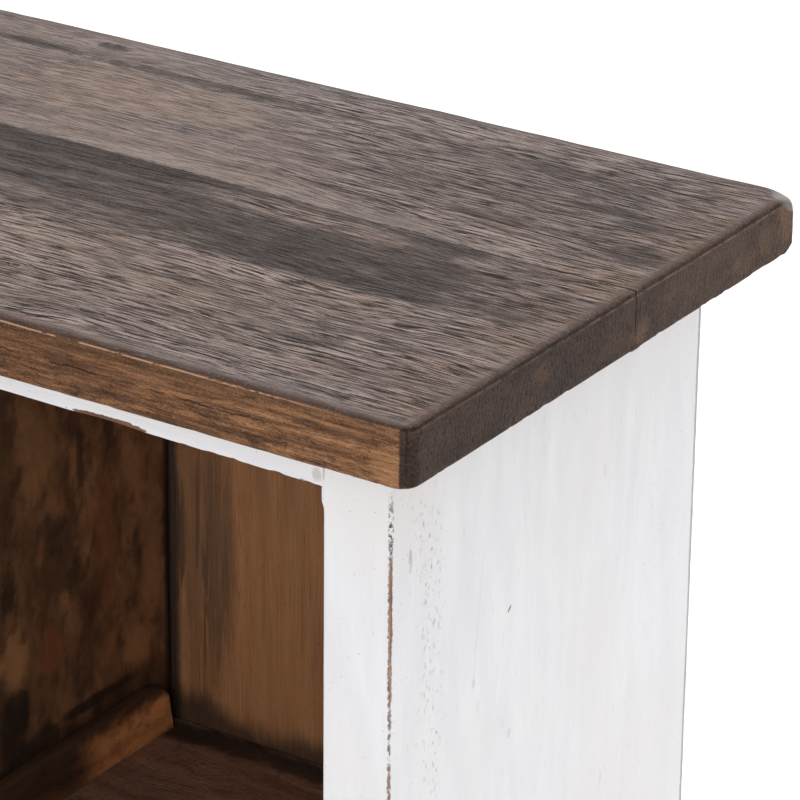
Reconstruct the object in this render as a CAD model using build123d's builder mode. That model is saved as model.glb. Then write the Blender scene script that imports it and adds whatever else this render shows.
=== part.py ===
from build123d import *
import os

# A low painted bench with three open compartments under a two-board plank top.
# Millimetres. The origin is on the ground in the middle of the top's outline, +X to the right,
# +Y to the back and +Z up.

os.makedirs("parts", exist_ok=True)

# ---- Driving dimensions ----

# Frame
frame_length = 840.0  # outside the posts, left to right
frame_depth = 240.0  # outside the posts, front to back
frame_height = 424.0  # ground to the underside of the top
post_face = 32.0  # a post's width across the front
post_side = 43.0  # and along the end
foot_chamfer = 2.0
arris = 1.0  # easing of the painted edges

# Top
top_thickness = 26.0
end_overhang = 27.0
front_overhang = 30.0
back_overhang = 30.0
front_board_width = 166.0
front_corner_radius = 8.0
back_corner_radius = 3.5
top_arris = 2.5
lower_arris = 1.2
seam_chamfer = 0.6
dowel_radius = 4.0
dowel_length = 40.0
dowel_count = 5
dowel_inset = 85.0  # first dowel from the end of the top

# Rails
rail_thickness = 20.0
front_top_rail_height = 24.5
front_top_rail_rise = 2.8  # how far its lower edge arches up in the middle
back_top_rail_height = 32.0
bottom_rail_height = 45.0
tenon_thickness = 8.0
tenon_length = 14.0
tenon_shoulder = 4.0

# Ends
panel_thickness = 20.0
panel_low = 42.0  # lower edge beside the posts
panel_arch = 34.0  # rise of the arch from there
panel_arch_margin = 12.0  # straight run beside each post
tongue_thickness = 8.0
tongue_depth = 7.0

# Floor
floor_height = 128.0  # ground to the top of the floor
floor_thickness = 18.0
floor_rebate = 10.0  # how far the floor laps onto each bottom rail
floor_front_board_width = 103.0
bearer_width = 30.0
cleat_width = 20.0
top_cleat_height = 20.0

# Compartments
partition_thickness = 20.0
partition_back_gap = 3.5
mullion_width = 32.0
bead_thickness = 7.0
bead_height = 27.0
bead_end_radius = 12.0
bead_round = 3.5

# Back
back_thickness = 13.0
back_board_count = 6
back_lap = 8.0

# Fasteners
screw_head_radius = 4.0
screw_head_height = 3.0
screw_radius = 2.0
screw_slot = 1.0
top_screw_length = 30.0
top_screw_seat = 15.0  # from the underside of the top down to the head's seat
cleat_screw_length = 30.0
partition_screw_length = 60.0
nail_head_radius = 2.5
nail_head_height = 1.0
nail_radius = 1.2
floor_nail_length = 35.0
back_nail_length = 25.0
back_nail_edge = 30.0  # from a back board's edge

# Fits
joint_fit = 0.2  # around tenons, tongues and dowels
board_gap = 0.6  # between neighbouring boards
head_fit = 0.3  # around a screw head

# ---- Places worked out from them ----

SIDES = {"left": -1, "right": 1}
ENDS = {"front": -1, "back": 1}

half_length = frame_length / 2
half_depth = frame_depth / 2
post_inner_x = half_length - post_face
post_inner_y = half_depth - post_side
panel_inner_x = half_length - panel_thickness

front_rail_front = -half_depth
front_rail_back = front_rail_front + rail_thickness
back_rail_back = half_depth - back_thickness
back_rail_front = back_rail_back - rail_thickness
front_rail_mid = (front_rail_front + front_rail_back) / 2
back_rail_mid = (back_rail_front + back_rail_back) / 2
front_top_rail_low = frame_height - front_top_rail_height
back_top_rail_low = frame_height - back_top_rail_height
bottom_rail_low = floor_height - bottom_rail_height

floor_low = floor_height - floor_thickness
floor_front = front_rail_back - floor_rebate
floor_back = back_rail_front + floor_rebate
floor_seam = floor_front + floor_front_board_width

bay = (2 * panel_inner_x - 2 * partition_thickness) / 3
partition_x = (bay + partition_thickness) / 2
bay_centres = (-(bay + partition_thickness), 0, bay + partition_thickness)
partition_back = back_rail_back - partition_back_gap

top_half_length = half_length + end_overhang
top_front = -half_depth - front_overhang
top_back = half_depth + back_overhang
seam_y = top_front + front_board_width

cleat_mid_x = panel_inner_x - cleat_width / 2
top_cleat_low = frame_height - top_cleat_height
cleat_mid_zs = ((bottom_rail_low + floor_low) / 2, (top_cleat_low + frame_height) / 2)
screw_seat_z = frame_height - top_screw_seat

# Fasteners along a cleat, as shares of the way from its middle to the post.
top_screw_ys = [share * post_inner_y for share in (-0.5, 0.5)]
cleat_screw_ys = [share * post_inner_y for share in (-0.75, 0.75)]

# Fasteners through a floor board, as shares of the way from its outer post to the seam.
floor_nail_ys = [
    end * post_inner_y + share * (floor_seam - end * post_inner_y)
    for end in ENDS.values()
    for share in (0.4, 0.75)
]
bearer_screw_ys = [(end * post_inner_y + floor_seam) / 2 for end in ENDS.values()]

top_screw_places = [
    (side * cleat_mid_x, y, screw_seat_z) for side in SIDES.values() for y in top_screw_ys
] + [(x, y, screw_seat_z) for x in bay_centres for y in (front_rail_mid, back_rail_mid)]

bearer_screw_places = [
    (side * partition_x, y, bottom_rail_low + screw_head_height)
    for side in SIDES.values()
    for y in bearer_screw_ys
]

floor_nail_places = [
    (side * cleat_mid_x, y, floor_height) for side in SIDES.values() for y in floor_nail_ys
] + [
    (x, y, floor_height)
    for x in bay_centres
    for y in (floor_front + floor_rebate / 2, floor_back - floor_rebate / 2)
]

back_board_pitch = 2 * post_inner_x / back_board_count
back_board_centres = [
    -post_inner_x + (number + 0.5) * back_board_pitch for number in range(back_board_count)
]
back_nail_xs = [
    centre + side * (back_board_pitch / 2 - back_nail_edge)
    for centre in back_board_centres
    for side in SIDES.values()
]
back_nail_zs = (
    bottom_rail_low + bottom_rail_height / 2,
    frame_height - back_top_rail_height / 2,
)
back_nail_places = [(x, half_depth, z) for x in back_nail_xs for z in back_nail_zs]

dowel_pitch = 2 * (top_half_length - dowel_inset) / (dowel_count - 1)
dowel_places = [
    (number * dowel_pitch - top_half_length + dowel_inset, seam_y,
     frame_height + top_thickness / 2)
    for number in range(dowel_count)
]

# ---- Helpers ----

UP = (Align.CENTER, Align.CENTER, Align.MIN)
DOWN = (Align.CENTER, Align.CENTER, Align.MAX)
TO_BACK = (-90, 0, 0)  # turns +Z to +Y


def save(builder, name):
    """Labels a finished piece and writes its file."""
    builder.part.label = name
    export_step(builder.part, f"parts/{name}.step")


def block(corner, opposite, mode=Mode.ADD):
    """A box between two opposite corners."""
    start, end = Vector(*corner), Vector(*opposite)
    size = end - start
    with Locations(start + size * 0.5):
        Box(abs(size.X), abs(size.Y), abs(size.Z), mode=mode)


def tenon(side, y, low, high, fit=0.0, mode=Mode.ADD):
    """A rail's tenon at one end, or, with a fit, the mortise for it in the post."""
    half = tenon_thickness / 2 + fit
    block(
        (side * post_inner_x, y - half, low + tenon_shoulder - fit),
        (side * (post_inner_x + tenon_length + fit), y + half, high - tenon_shoulder + fit),
        mode,
    )


def tongue(side, end, fit=0.0, mode=Mode.ADD):
    """An end panel's tongue on one edge, or, with a fit, the post's groove for it."""
    middle = side * (half_length - panel_thickness / 2)
    half = tongue_thickness / 2 + fit
    block(
        (middle - half, end * post_inner_y, panel_low - fit),
        (middle + half, end * (post_inner_y + tongue_depth + fit), frame_height),
        mode,
    )


def outward(side):
    """The rotation that turns +Z to the outside of one end."""
    return (0, side * 90, 0)


def cleat_screw_places(side):
    """Where the heads of the screws through one end's two cleats bear."""
    seat_x = side * (panel_inner_x - cleat_width + screw_head_height)
    return [(seat_x, y, z) for y in cleat_screw_ys for z in cleat_mid_zs]


def screws(places, length, rotation=(0, 0, 0)):
    """Slotted screws whose heads bear at the places, their shanks along the turned +Z."""
    for place in places:
        with Locations(Location(place, rotation)):
            Cylinder(screw_radius, length, align=UP)
            Cylinder(screw_head_radius, screw_head_height, align=DOWN)
        with Locations(Location(place, rotation) * Location((0, 0, -screw_head_height))):
            Box(2 * screw_head_radius, screw_slot, screw_slot, align=UP, mode=Mode.SUBTRACT)


def screw_holes(places, length, rotation=(0, 0, 0), head_depth=screw_head_height):
    """Cuts the holes for such screws, with each head's recess open behind it."""
    for place in places:
        with Locations(Location(place, rotation)):
            Cylinder(screw_radius, length, align=UP, mode=Mode.SUBTRACT)
            Cylinder(
                screw_head_radius + head_fit, head_depth, align=DOWN, mode=Mode.SUBTRACT
            )


def nails(places, length, rotation=(0, 0, 0), mode=Mode.ADD):
    """Nails with flat heads flush at the places, or the holes for them, down the turned -Z."""
    for place in places:
        with Locations(Location(place, rotation)):
            Cylinder(nail_radius, length, align=DOWN, mode=mode)
            Cylinder(nail_head_radius, nail_head_height, align=DOWN, mode=mode)


def dowels(fit=0.0, mode=Mode.ADD):
    """The dowels across the top's seam, or, with a fit, their holes."""
    with Locations(*dowel_places):
        Cylinder(
            dowel_radius + fit, dowel_length + 2 * fit, rotation=TO_BACK, mode=mode
        )


def from_seam(edge):
    """How far an edge of the top lies from the seam between its boards."""
    return abs(edge.center().Y - seam_y)


# ---- Top ----

top_boards = {
    "top_front_board": (top_front, seam_y - board_gap / 2, front_corner_radius),
    "top_back_board": (seam_y + board_gap / 2, top_back, back_corner_radius),
}

for name, (front, back, corner_radius) in top_boards.items():
    with BuildPart() as top_board:
        block(
            (-top_half_length, front, frame_height),
            (top_half_length, back, frame_height + top_thickness),
        )
        uprights = top_board.edges().filter_by(Axis.Z)
        fillet(uprights.sort_by(from_seam)[-2:], corner_radius)
        chamfer(top_board.faces().sort_by(Axis.Z)[-1].edges().sort_by(from_seam)[0], seam_chamfer)
        fillet(top_board.faces().sort_by(Axis.Z)[-1].edges().sort_by(from_seam)[1:], top_arris)
        fillet(top_board.faces().sort_by(Axis.Z)[0].edges().sort_by(from_seam)[1:], lower_arris)
        dowels(joint_fit, Mode.SUBTRACT)
        screw_holes(top_screw_places, top_screw_length)
    save(top_board, name)

with BuildPart() as top_dowels:
    dowels()
save(top_dowels, "top_dowels")

# ---- Posts ----

for end_name, end in ENDS.items():
    for side_name, side in SIDES.items():
        with BuildPart() as post:
            block(
                (side * post_inner_x, end * post_inner_y, 0),
                (side * half_length, end * half_depth, frame_height),
            )
            chamfer(post.faces().sort_by(Axis.Z)[0].edges(), foot_chamfer)
            uprights = post.edges().filter_by(Axis.Z)
            fillet(uprights.sort_by(lambda edge: abs(edge.center().X))[-2:], arris)
            if end_name == "front":
                tenon(side, front_rail_mid, front_top_rail_low, frame_height,
                      joint_fit, Mode.SUBTRACT)
                tenon(side, front_rail_mid, bottom_rail_low, floor_height,
                      joint_fit, Mode.SUBTRACT)
            else:
                tenon(side, back_rail_mid, back_top_rail_low, frame_height,
                      joint_fit, Mode.SUBTRACT)
                tenon(side, back_rail_mid, bottom_rail_low, floor_height,
                      joint_fit, Mode.SUBTRACT)
            tongue(side, end, joint_fit, Mode.SUBTRACT)
        save(post, f"post_{end_name}_{side_name}")

# ---- End panels ----

for side_name, side in SIDES.items():
    arch_start = post_inner_y - panel_arch_margin
    with BuildPart() as end_panel:
        with BuildSketch(Plane.YZ.offset(min(side * half_length, side * panel_inner_x))):
            with BuildLine():
                Polyline(
                    (arch_start, panel_low),
                    (post_inner_y, panel_low),
                    (post_inner_y, frame_height),
                    (-post_inner_y, frame_height),
                    (-post_inner_y, panel_low),
                    (-arch_start, panel_low),
                )
                ThreePointArc(
                    (-arch_start, panel_low), (0, panel_low + panel_arch), (arch_start, panel_low)
                )
            make_face()
        extrude(amount=panel_thickness)
        for end in ENDS.values():
            tongue(side, end)
        screw_holes(cleat_screw_places(side), cleat_screw_length, outward(side))
    save(end_panel, f"end_panel_{side_name}")

# ---- Rails ----

with BuildSketch(Plane.XZ.offset(-front_rail_back)) as front_top_rail_outline:
    with BuildLine():
        Polyline(
            (post_inner_x, front_top_rail_low),
            (post_inner_x, frame_height),
            (-post_inner_x, frame_height),
            (-post_inner_x, front_top_rail_low),
        )
        ThreePointArc(
            (-post_inner_x, front_top_rail_low),
            (0, front_top_rail_low + front_top_rail_rise),
            (post_inner_x, front_top_rail_low),
        )
    make_face()

with BuildPart() as front_top_rail:
    extrude(front_top_rail_outline.sketch, amount=rail_thickness)
    for side in SIDES.values():
        tenon(side, front_rail_mid, front_top_rail_low, frame_height)
    screw_holes(top_screw_places, top_screw_length, head_depth=front_top_rail_height)
save(front_top_rail, "front_top_rail")

with BuildPart() as back_top_rail:
    block(
        (-post_inner_x, back_rail_front, back_top_rail_low),
        (post_inner_x, back_rail_back, frame_height),
    )
    for side in SIDES.values():
        tenon(side, back_rail_mid, back_top_rail_low, frame_height)
    screw_holes(top_screw_places, top_screw_length, head_depth=back_top_rail_height)
    nails(back_nail_places, back_nail_length, TO_BACK, Mode.SUBTRACT)
save(back_top_rail, "back_top_rail")

bottom_rails = {
    "front_bottom_rail": (front_rail_front, front_rail_back, front_rail_mid),
    "back_bottom_rail": (back_rail_front, back_rail_back, back_rail_mid),
}

for name, (front, back, middle) in bottom_rails.items():
    with BuildPart() as bottom_rail:
        block((-post_inner_x, front, bottom_rail_low), (post_inner_x, back, floor_height))
        for side in SIDES.values():
            tenon(side, middle, bottom_rail_low, floor_height)
        block(
            (-half_length, floor_front, floor_low),
            (half_length, floor_back, floor_height),
            Mode.SUBTRACT,
        )
        nails(floor_nail_places, floor_nail_length, mode=Mode.SUBTRACT)
        nails(back_nail_places, back_nail_length, TO_BACK, Mode.SUBTRACT)
    save(bottom_rail, name)

# ---- Floor ----

floor_boards = {
    "floor_front_board": (floor_front, floor_seam - board_gap / 2),
    "floor_back_board": (floor_seam + board_gap / 2, floor_back),
}

for name, (front, back) in floor_boards.items():
    with BuildPart() as floor_board:
        block((-panel_inner_x, front, floor_low), (panel_inner_x, back, floor_height))
        for side in SIDES.values():
            for end in ENDS.values():
                block(
                    (side * post_inner_x, end * post_inner_y, floor_low),
                    (side * half_length, end * half_depth, floor_height),
                    Mode.SUBTRACT,
                )
        nails(floor_nail_places, floor_nail_length, mode=Mode.SUBTRACT)
        screw_holes(bearer_screw_places, partition_screw_length)
    save(floor_board, name)

for side_name, side in SIDES.items():
    with BuildPart() as bearer:
        block(
            (side * partition_x - bearer_width / 2, front_rail_back, bottom_rail_low),
            (side * partition_x + bearer_width / 2, back_rail_front, floor_low),
        )
        screw_holes(bearer_screw_places, partition_screw_length)
    save(bearer, f"bearer_{side_name}")

# ---- Cleats on the end panels ----

for side_name, side in SIDES.items():
    with BuildPart() as floor_cleat:
        block(
            (side * panel_inner_x, -post_inner_y, bottom_rail_low),
            (side * (panel_inner_x - cleat_width), post_inner_y, floor_low),
        )
        screw_holes(cleat_screw_places(side), cleat_screw_length, outward(side))
        nails(floor_nail_places, floor_nail_length, mode=Mode.SUBTRACT)
    save(floor_cleat, f"floor_cleat_{side_name}")

    with BuildPart() as top_cleat:
        block(
            (side * panel_inner_x, -post_inner_y, top_cleat_low),
            (side * (panel_inner_x - cleat_width), post_inner_y, frame_height),
        )
        screw_holes(cleat_screw_places(side), cleat_screw_length, outward(side))
        screw_holes(top_screw_places, top_screw_length, head_depth=top_cleat_height)
    save(top_cleat, f"top_cleat_{side_name}")

# ---- Partitions, their foot beads and the mullions in front of them ----

for side_name, side in SIDES.items():
    middle = side * partition_x
    with BuildPart() as partition:
        with BuildSketch(Plane.YZ.offset(middle - partition_thickness / 2)):
            with BuildLine():
                Polyline(
                    (front_rail_back, floor_height),
                    (partition_back, floor_height),
                    (partition_back, back_top_rail_low),
                    (back_rail_front, back_top_rail_low),
                    (back_rail_front, frame_height),
                    (front_rail_back, frame_height),
                    close=True,
                )
            make_face()
        extrude(amount=partition_thickness)
        screw_holes(bearer_screw_places, partition_screw_length)
    save(partition, f"partition_{side_name}")

    with BuildPart() as mullion:
        with BuildSketch(Plane.XZ.offset(-front_rail_back)):
            with Locations((middle, (floor_height + frame_height) / 2)):
                Rectangle(mullion_width, frame_height - floor_height)
        extrude(amount=rail_thickness)
        extrude(front_top_rail_outline.sketch, amount=rail_thickness, mode=Mode.SUBTRACT)
        front_edges = mullion.faces().sort_by(Axis.Y)[0].edges().filter_by(Axis.Z)
        fillet(front_edges, arris)
    save(mullion, f"mullion_{side_name}")

    for face_name, face in SIDES.items():
        wall = middle + face * partition_thickness / 2
        with BuildPart() as foot_bead:
            block(
                (wall, front_rail_back, floor_height),
                (wall + face * bead_thickness, partition_back, floor_height + bead_height),
            )
            upper_ends = foot_bead.edges().filter_by(Axis.X).group_by(Axis.Z)[-1]
            fillet(upper_ends, bead_end_radius)
            crown = foot_bead.faces().sort_by(lambda plane: face * plane.center().X)[-1]
            floor_edge = crown.edges().sort_by(Axis.Z)[0]
            fillet([edge for edge in crown.edges() if edge != floor_edge], bead_round)
        save(foot_bead, f"foot_bead_{side_name}_{face_name}")

# ---- Back boards ----

for number, centre in enumerate(back_board_centres, start=1):
    front_left = centre - back_board_pitch / 2 + board_gap / 2
    front_right = centre + back_board_pitch / 2 - board_gap / 2
    back_left = front_left - (back_lap if number > 1 else 0)
    back_right = front_right - (back_lap if number < back_board_count else 0)
    lap_y = half_depth - back_thickness / 2
    with BuildPart() as back_board:
        block((front_left, back_rail_back, bottom_rail_low), (front_right, lap_y, frame_height))
        block((back_left, lap_y, bottom_rail_low), (back_right, half_depth, frame_height))
        nails(back_nail_places, back_nail_length, TO_BACK, Mode.SUBTRACT)
    save(back_board, f"back_board_{number}")

# ---- Fasteners, one group for each kind ----

with BuildPart() as top_screws:
    screws(top_screw_places, top_screw_length)
save(top_screws, "top_screws")

with BuildPart() as cleat_screws:
    for side in SIDES.values():
        screws(cleat_screw_places(side), cleat_screw_length, outward(side))
save(cleat_screws, "cleat_screws")

with BuildPart() as partition_screws:
    screws(bearer_screw_places, partition_screw_length)
save(partition_screws, "partition_screws")

with BuildPart() as floor_nails:
    nails(floor_nail_places, floor_nail_length)
save(floor_nails, "floor_nails")

with BuildPart() as back_nails:
    nails(back_nail_places, back_nail_length, TO_BACK)
save(back_nails, "back_nails")
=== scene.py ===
import math

import bpy
import numpy as np
from mathutils import Matrix, Vector


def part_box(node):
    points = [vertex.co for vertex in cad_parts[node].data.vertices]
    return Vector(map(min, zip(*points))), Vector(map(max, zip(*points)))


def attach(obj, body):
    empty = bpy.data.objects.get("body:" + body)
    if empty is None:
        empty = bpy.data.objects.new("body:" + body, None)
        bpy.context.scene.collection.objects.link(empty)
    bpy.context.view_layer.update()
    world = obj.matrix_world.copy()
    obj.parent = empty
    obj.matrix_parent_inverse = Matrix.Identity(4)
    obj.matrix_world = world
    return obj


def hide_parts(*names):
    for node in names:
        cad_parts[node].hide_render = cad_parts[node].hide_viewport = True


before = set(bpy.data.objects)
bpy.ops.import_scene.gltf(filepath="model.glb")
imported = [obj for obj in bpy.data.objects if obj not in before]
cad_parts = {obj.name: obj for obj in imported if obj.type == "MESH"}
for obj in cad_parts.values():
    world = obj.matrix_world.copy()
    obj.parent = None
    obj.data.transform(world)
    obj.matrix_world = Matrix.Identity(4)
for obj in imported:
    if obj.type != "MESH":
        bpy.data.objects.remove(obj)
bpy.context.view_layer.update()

# A painted bucket bench with a weathered two-board top. Lengths are in millimetres until a
# mesh or a light is made, and the axes are the frame's: +X right, +Y back, +Z up.

MM = 0.001


def corners(node):
    """A frame node's lowest and highest corners in millimetres."""
    low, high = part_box(node)
    return np.array(low) / MM, np.array(high) / MM


def new_object(name, data):
    """An object in the scene for a mesh, lamp or camera."""
    made = bpy.data.objects.new(name, data)
    bpy.context.scene.collection.objects.link(made)
    return made


# ---- Relief: smooth repeatable noise for the worn surfaces ----

NOISE_CELLS = 128


def waves(u, v, seed):
    """Smooth noise from -1 to 1 over a plane, with about one bump to each whole unit."""
    table = np.random.RandomState(seed).rand(NOISE_CELLS, NOISE_CELLS)
    iu, iv = np.floor(u).astype(int), np.floor(v).astype(int)
    fu, fv = u - iu, v - iv
    fu, fv = fu * fu * (3 - 2 * fu), fv * fv * (3 - 2 * fv)
    rows, cols = iu % NOISE_CELLS, iv % NOISE_CELLS
    next_rows, next_cols = (iu + 1) % NOISE_CELLS, (iv + 1) % NOISE_CELLS
    front = table[rows, cols] * (1 - fu) + table[next_rows, cols] * fu
    back = table[rows, next_cols] * (1 - fu) + table[next_rows, next_cols] * fu
    return 2 * (front * (1 - fv) + back * fv) - 1


def rough(u, v, seed):
    """Three sizes of the same noise together."""
    return (
        waves(u, v, seed) + 0.5 * waves(2 * u, 2 * v, seed + 1) + 0.25 * waves(4 * u, 4 * v, seed + 2)
    ) / 1.75


def ease(value, start, end):
    """0 before the start, 1 after the end and smooth between them."""
    t = np.clip((value - start) / (end - start), 0, 1)
    return t * t * (3 - 2 * t)


def hollow(u, v, middle, reach):
    """1 in the middle of an oval, falling to 0 at its rim."""
    distance = np.hypot((u - middle[0]) / reach[0], (v - middle[1]) / reach[1])
    return 1 - ease(distance, 0.2, 1)


# ---- Boards and posts: one closed skin of small faces with rounded arrises ----

# How far inside an arris the skin's rows lie, as shares of its radius, so that they land at
# even angles once rounded.
ARRIS_ROWS = np.array([0, 0.4226, 0.7321, 1])
LEAST_ARRIS = 0.05
CREASE_DEGREES = 50


def rows_between(low, high, radius, step):
    """Row places along one side of a block, close together at its two arrises."""
    count = max(1, round((high - low - 2 * radius) / step))
    middle = np.linspace(low + radius, high - radius, count + 1)
    near = ARRIS_ROWS[:-1] * radius
    return np.concatenate([low + near, middle, high - near[::-1]])


def block_skin(rows):
    """Places and four-sided faces all over a block, on a grid of the given rows."""
    counts = [len(places) for places in rows]
    numbers = np.arange(np.prod(counts)).reshape(counts)
    faces = []
    for axis in range(3):
        for end in (0, -1):
            grid = np.take(numbers, end, axis=axis)
            ring = np.stack([grid[:-1, :-1], grid[1:, :-1], grid[1:, 1:], grid[:-1, 1:]], axis=-1)
            ring = ring.reshape(-1, 4)
            inside_out = (end == 0) != (axis == 1)
            faces.append(ring[:, ::-1] if inside_out else ring)
    used, faces = np.unique(np.concatenate(faces), return_inverse=True)
    places = np.stack(np.meshgrid(*rows, indexing="ij"), axis=-1).reshape(-1, 3)[used]
    return places, faces.reshape(-1, 4)


def eased(places, low, high, radius):
    """The places with the block's arrises rounded, and the way out of the block at each."""
    radius = np.maximum(radius, LEAST_ARRIS)[:, None]
    core = np.clip(places, low + radius, high - radius)
    out = places - core
    out = out / np.linalg.norm(out, axis=1, keepdims=True)
    return core + out * radius, out


def finish_piece(name, node, places, faces, material):
    """Makes the mesh object for a piece and stands it in for its frame node."""
    mesh = bpy.data.meshes.new(name)
    mesh.from_pydata((places * MM).tolist(), [], faces.tolist())
    mesh.shade_smooth()
    mesh.set_sharp_from_angle(angle=math.radians(CREASE_DEGREES))
    mesh.materials.append(material)
    piece = new_object(name, mesh)
    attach(piece, "root")
    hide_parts(node)


# ---- Node trees ----


def srgb(red, green, blue):
    """A paint or stain colour from 0 to 255 in each channel."""
    def linear(value):
        value /= 255
        return value / 12.92 if value <= 0.04045 else ((value + 0.055) / 1.055) ** 2.4

    return (linear(red), linear(green), linear(blue), 1)


class Nodes:
    """Adds nodes to one tree. Each call gives the new node's output socket."""

    def __init__(self, tree):
        self.tree = tree

    def feed(self, value, socket):
        """Links another socket to this one, or sets its number or colour."""
        if isinstance(value, bpy.types.NodeSocket):
            self.tree.links.new(value, socket)
        else:
            socket.default_value = value

    def add(self, kind, feeds, output=0, **settings):
        made = self.tree.nodes.new("ShaderNode" + kind)
        for key, value in settings.items():
            setattr(made, key, value)
        for key, value in feeds.items():
            self.feed(value, made.inputs[key])
        return made.outputs[output]

    def math(self, operation, first, second=0.0, clamp=False):
        return self.add("Math", {0: first, 1: second}, operation=operation, use_clamp=clamp)

    def plus(self, first, second):
        return self.math("ADD", first, second)

    def minus(self, first, second):
        return self.math("SUBTRACT", first, second)

    def over(self, first, second):
        return self.math("DIVIDE", first, second)

    def abs(self, value):
        return self.math("ABSOLUTE", value)

    def times(self, first, *more):
        for value in more:
            first = self.math("MULTIPLY", first, value)
        return first

    def max(self, first, *more):
        for value in more:
            first = self.math("MAXIMUM", first, value)
        return first

    def swing(self, noise, width):
        """The noise about nought instead of a half, and this wide in all."""
        return self.times(self.minus(noise, 0.5), width)

    def vector(self, operation, first, second):
        return self.add("VectorMath", {0: first, 1: second}, operation=operation)

    def length(self, vector):
        return self.add("VectorMath", {0: vector}, output="Value", operation="LENGTH")

    def split(self, vector):
        made = self.add("SeparateXYZ", {0: vector}).node
        return made.outputs[0], made.outputs[1], made.outputs[2]

    def join(self, x, y, z):
        return self.add("CombineXYZ", {0: x, 1: y, 2: z})

    def noise(self, place, fineness=None, detail=2.0, roughness=0.5, output=0):
        """Noise over a place, with this many bumps to each of its units in X, Y and Z."""
        if fineness:
            place = self.vector("MULTIPLY", place, fineness)
        feeds = {"Vector": place, "Scale": 1.0, "Detail": detail, "Roughness": roughness}
        return self.add("TexNoise", feeds, output, noise_dimensions="3D")

    def step(self, value, start, end, low=0.0, high=1.0):
        """Smooth change from low to high as the value goes from start to end."""
        feeds = {"Value": value, "From Min": start, "From Max": end, "To Min": low, "To Max": high}
        return self.add("MapRange", feeds, interpolation_type="SMOOTHSTEP")

    def by(self, mask, low, high):
        """Smooth change from low to high as a mask goes from 0 to 1."""
        return self.step(mask, 0.0, 1.0, low, high)

    def line(self, value, at, rim, core):
        """1 within a core about where the value is this much, falling to 0 at the rim."""
        return self.step(self.abs(self.minus(value, at)), rim, core)

    def mix(self, share, first, second):
        feeds = {0: share, 6: first, 7: second}
        return self.add("Mix", feeds, output=2, data_type="RGBA", blend_type="MIX")

    def blend(self, share, first, second):
        """The same for two numbers."""
        return self.add("Mix", {0: share, 2: first, 3: second}, data_type="FLOAT")

    def tint(self, colour, shade, *masks):
        """The colour with a shade over it, as far as all the masks and strengths let it."""
        return self.mix(self.times(*masks), colour, shade)

    def group(self, name, output=0, **feeds):
        return self.add("Group", feeds, output, node_tree=bpy.data.node_groups[name])

    def grain(self, place, length, width, detail):
        return self.group("grain", Place=place, Length=length, Width=width, Detail=detail)

    def spot(self, place, middle, reach, ragged, grit):
        return self.group("spot", Place=place, Middle=middle, Reach=reach, Ragged=ragged, Grit=grit)

    def marks(self, colour, place, rows, ragged, grit):
        """The colour with an oval mark for each row's middle, reach, strength and shade."""
        for middle, reach, strength, shade in rows:
            mark = self.spot(place, middle, reach, ragged, grit)
            colour = self.tint(colour, shade, mark, strength)
        return colour

    def curled(self, place, size, push):
        """The place as the swirl group moves it."""
        swirl = self.group("swirl", Place=place, Size=size, Push=push).node
        return self.join(*(swirl.outputs[key] for key in "XYZ"))

    def place(self):
        """Millimetres in the frame's axes."""
        here = self.add("TexCoord", {}, output="Object")
        return self.vector("MULTIPLY", here, (1 / MM, 1 / MM, 1 / MM))


def new_group(name, outputs, **inputs):
    """A shader node group that takes a place and named values: its nodes, inputs and outputs."""
    tree = bpy.data.node_groups.new(name, "ShaderNodeTree")
    for key, value in {"Place": (0, 0, 0), **inputs}.items():
        kind = "NodeSocketVector" if isinstance(value, tuple) else "NodeSocketFloat"
        socket = tree.interface.new_socket(key, in_out="INPUT", socket_type=kind)
        socket.default_value = value
    for key in outputs:
        tree.interface.new_socket(key, in_out="OUTPUT", socket_type="NodeSocketFloat")
    start = tree.nodes.new("NodeGroupInput")
    end = tree.nodes.new("NodeGroupOutput")
    return Nodes(tree), start.outputs, end.inputs


def drawn_out(n, given):
    """The place given to a group, in its lengths along X and in its widths across."""
    along, across, up = n.split(given["Place"])
    return n.over(along, given["Length"]), n.over(across, given["Width"]), n.over(up, given["Width"])


def all_ways(n, operation, vector, value):
    """The vector times or over one value in X, Y and Z alike."""
    return n.vector(operation, vector, n.join(value, value, value))


TURN = 6.2832  # radians

# Grain: long soft streaks along X of the place that it is given.
n, given, out = new_group("grain", ["Streaks"], Length=40.0, Width=2.0, Detail=3.0)
streaks = n.noise(n.join(*drawn_out(n, given)), detail=given["Detail"], roughness=0.55)
n.feed(n.step(streaks, 0.28, 0.72), out["Streaks"])

# Pores: short dark dashes along X.
n, given, out = new_group("pores", ["Dashes"], Length=6.0, Width=0.6, Share=0.3)
dashes = n.noise(n.join(*drawn_out(n, given)), detail=1.0)
limit = n.minus(0.75, n.times(given["Share"], 0.4))
n.feed(n.math("MULTIPLY", n.minus(dashes, limit), 9.0, clamp=True), out["Dashes"])

# Spot: an oval patch with a ragged rim, for knots, stains and worn places.
n, given, out = new_group("spot", ["Mask"], Middle=(0, 0, 0), Reach=(1, 1, 1), Ragged=0.6,
                          Grit=8.0)
offset = n.vector("DIVIDE", n.vector("SUBTRACT", given["Place"], given["Middle"]), given["Reach"])
grit = n.noise(all_ways(n, "DIVIDE", given["Place"], given["Grit"]), detail=3.0, roughness=0.6)
edge = n.plus(n.length(offset), n.swing(grit, given["Ragged"]))
n.feed(n.step(edge, 1.0, 0.45), out["Mask"])

# Specks: small dark dots scattered one to a cell, on a share of the cells.
n, given, out = new_group("specks", ["Dots"], Cell=6.0, Size=0.12, Share=0.3)
cells = all_ways(n, "DIVIDE", given["Place"], given["Cell"])
distance = n.add("TexVoronoi", {"Vector": cells, "Scale": 1.0}, output="Distance")
near = n.math("LESS_THAN", distance, given["Size"])
chosen = n.math("LESS_THAN", n.split(distance.node.outputs["Color"])[0], given["Share"])
n.feed(n.times(near, chosen), out["Dots"])

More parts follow.
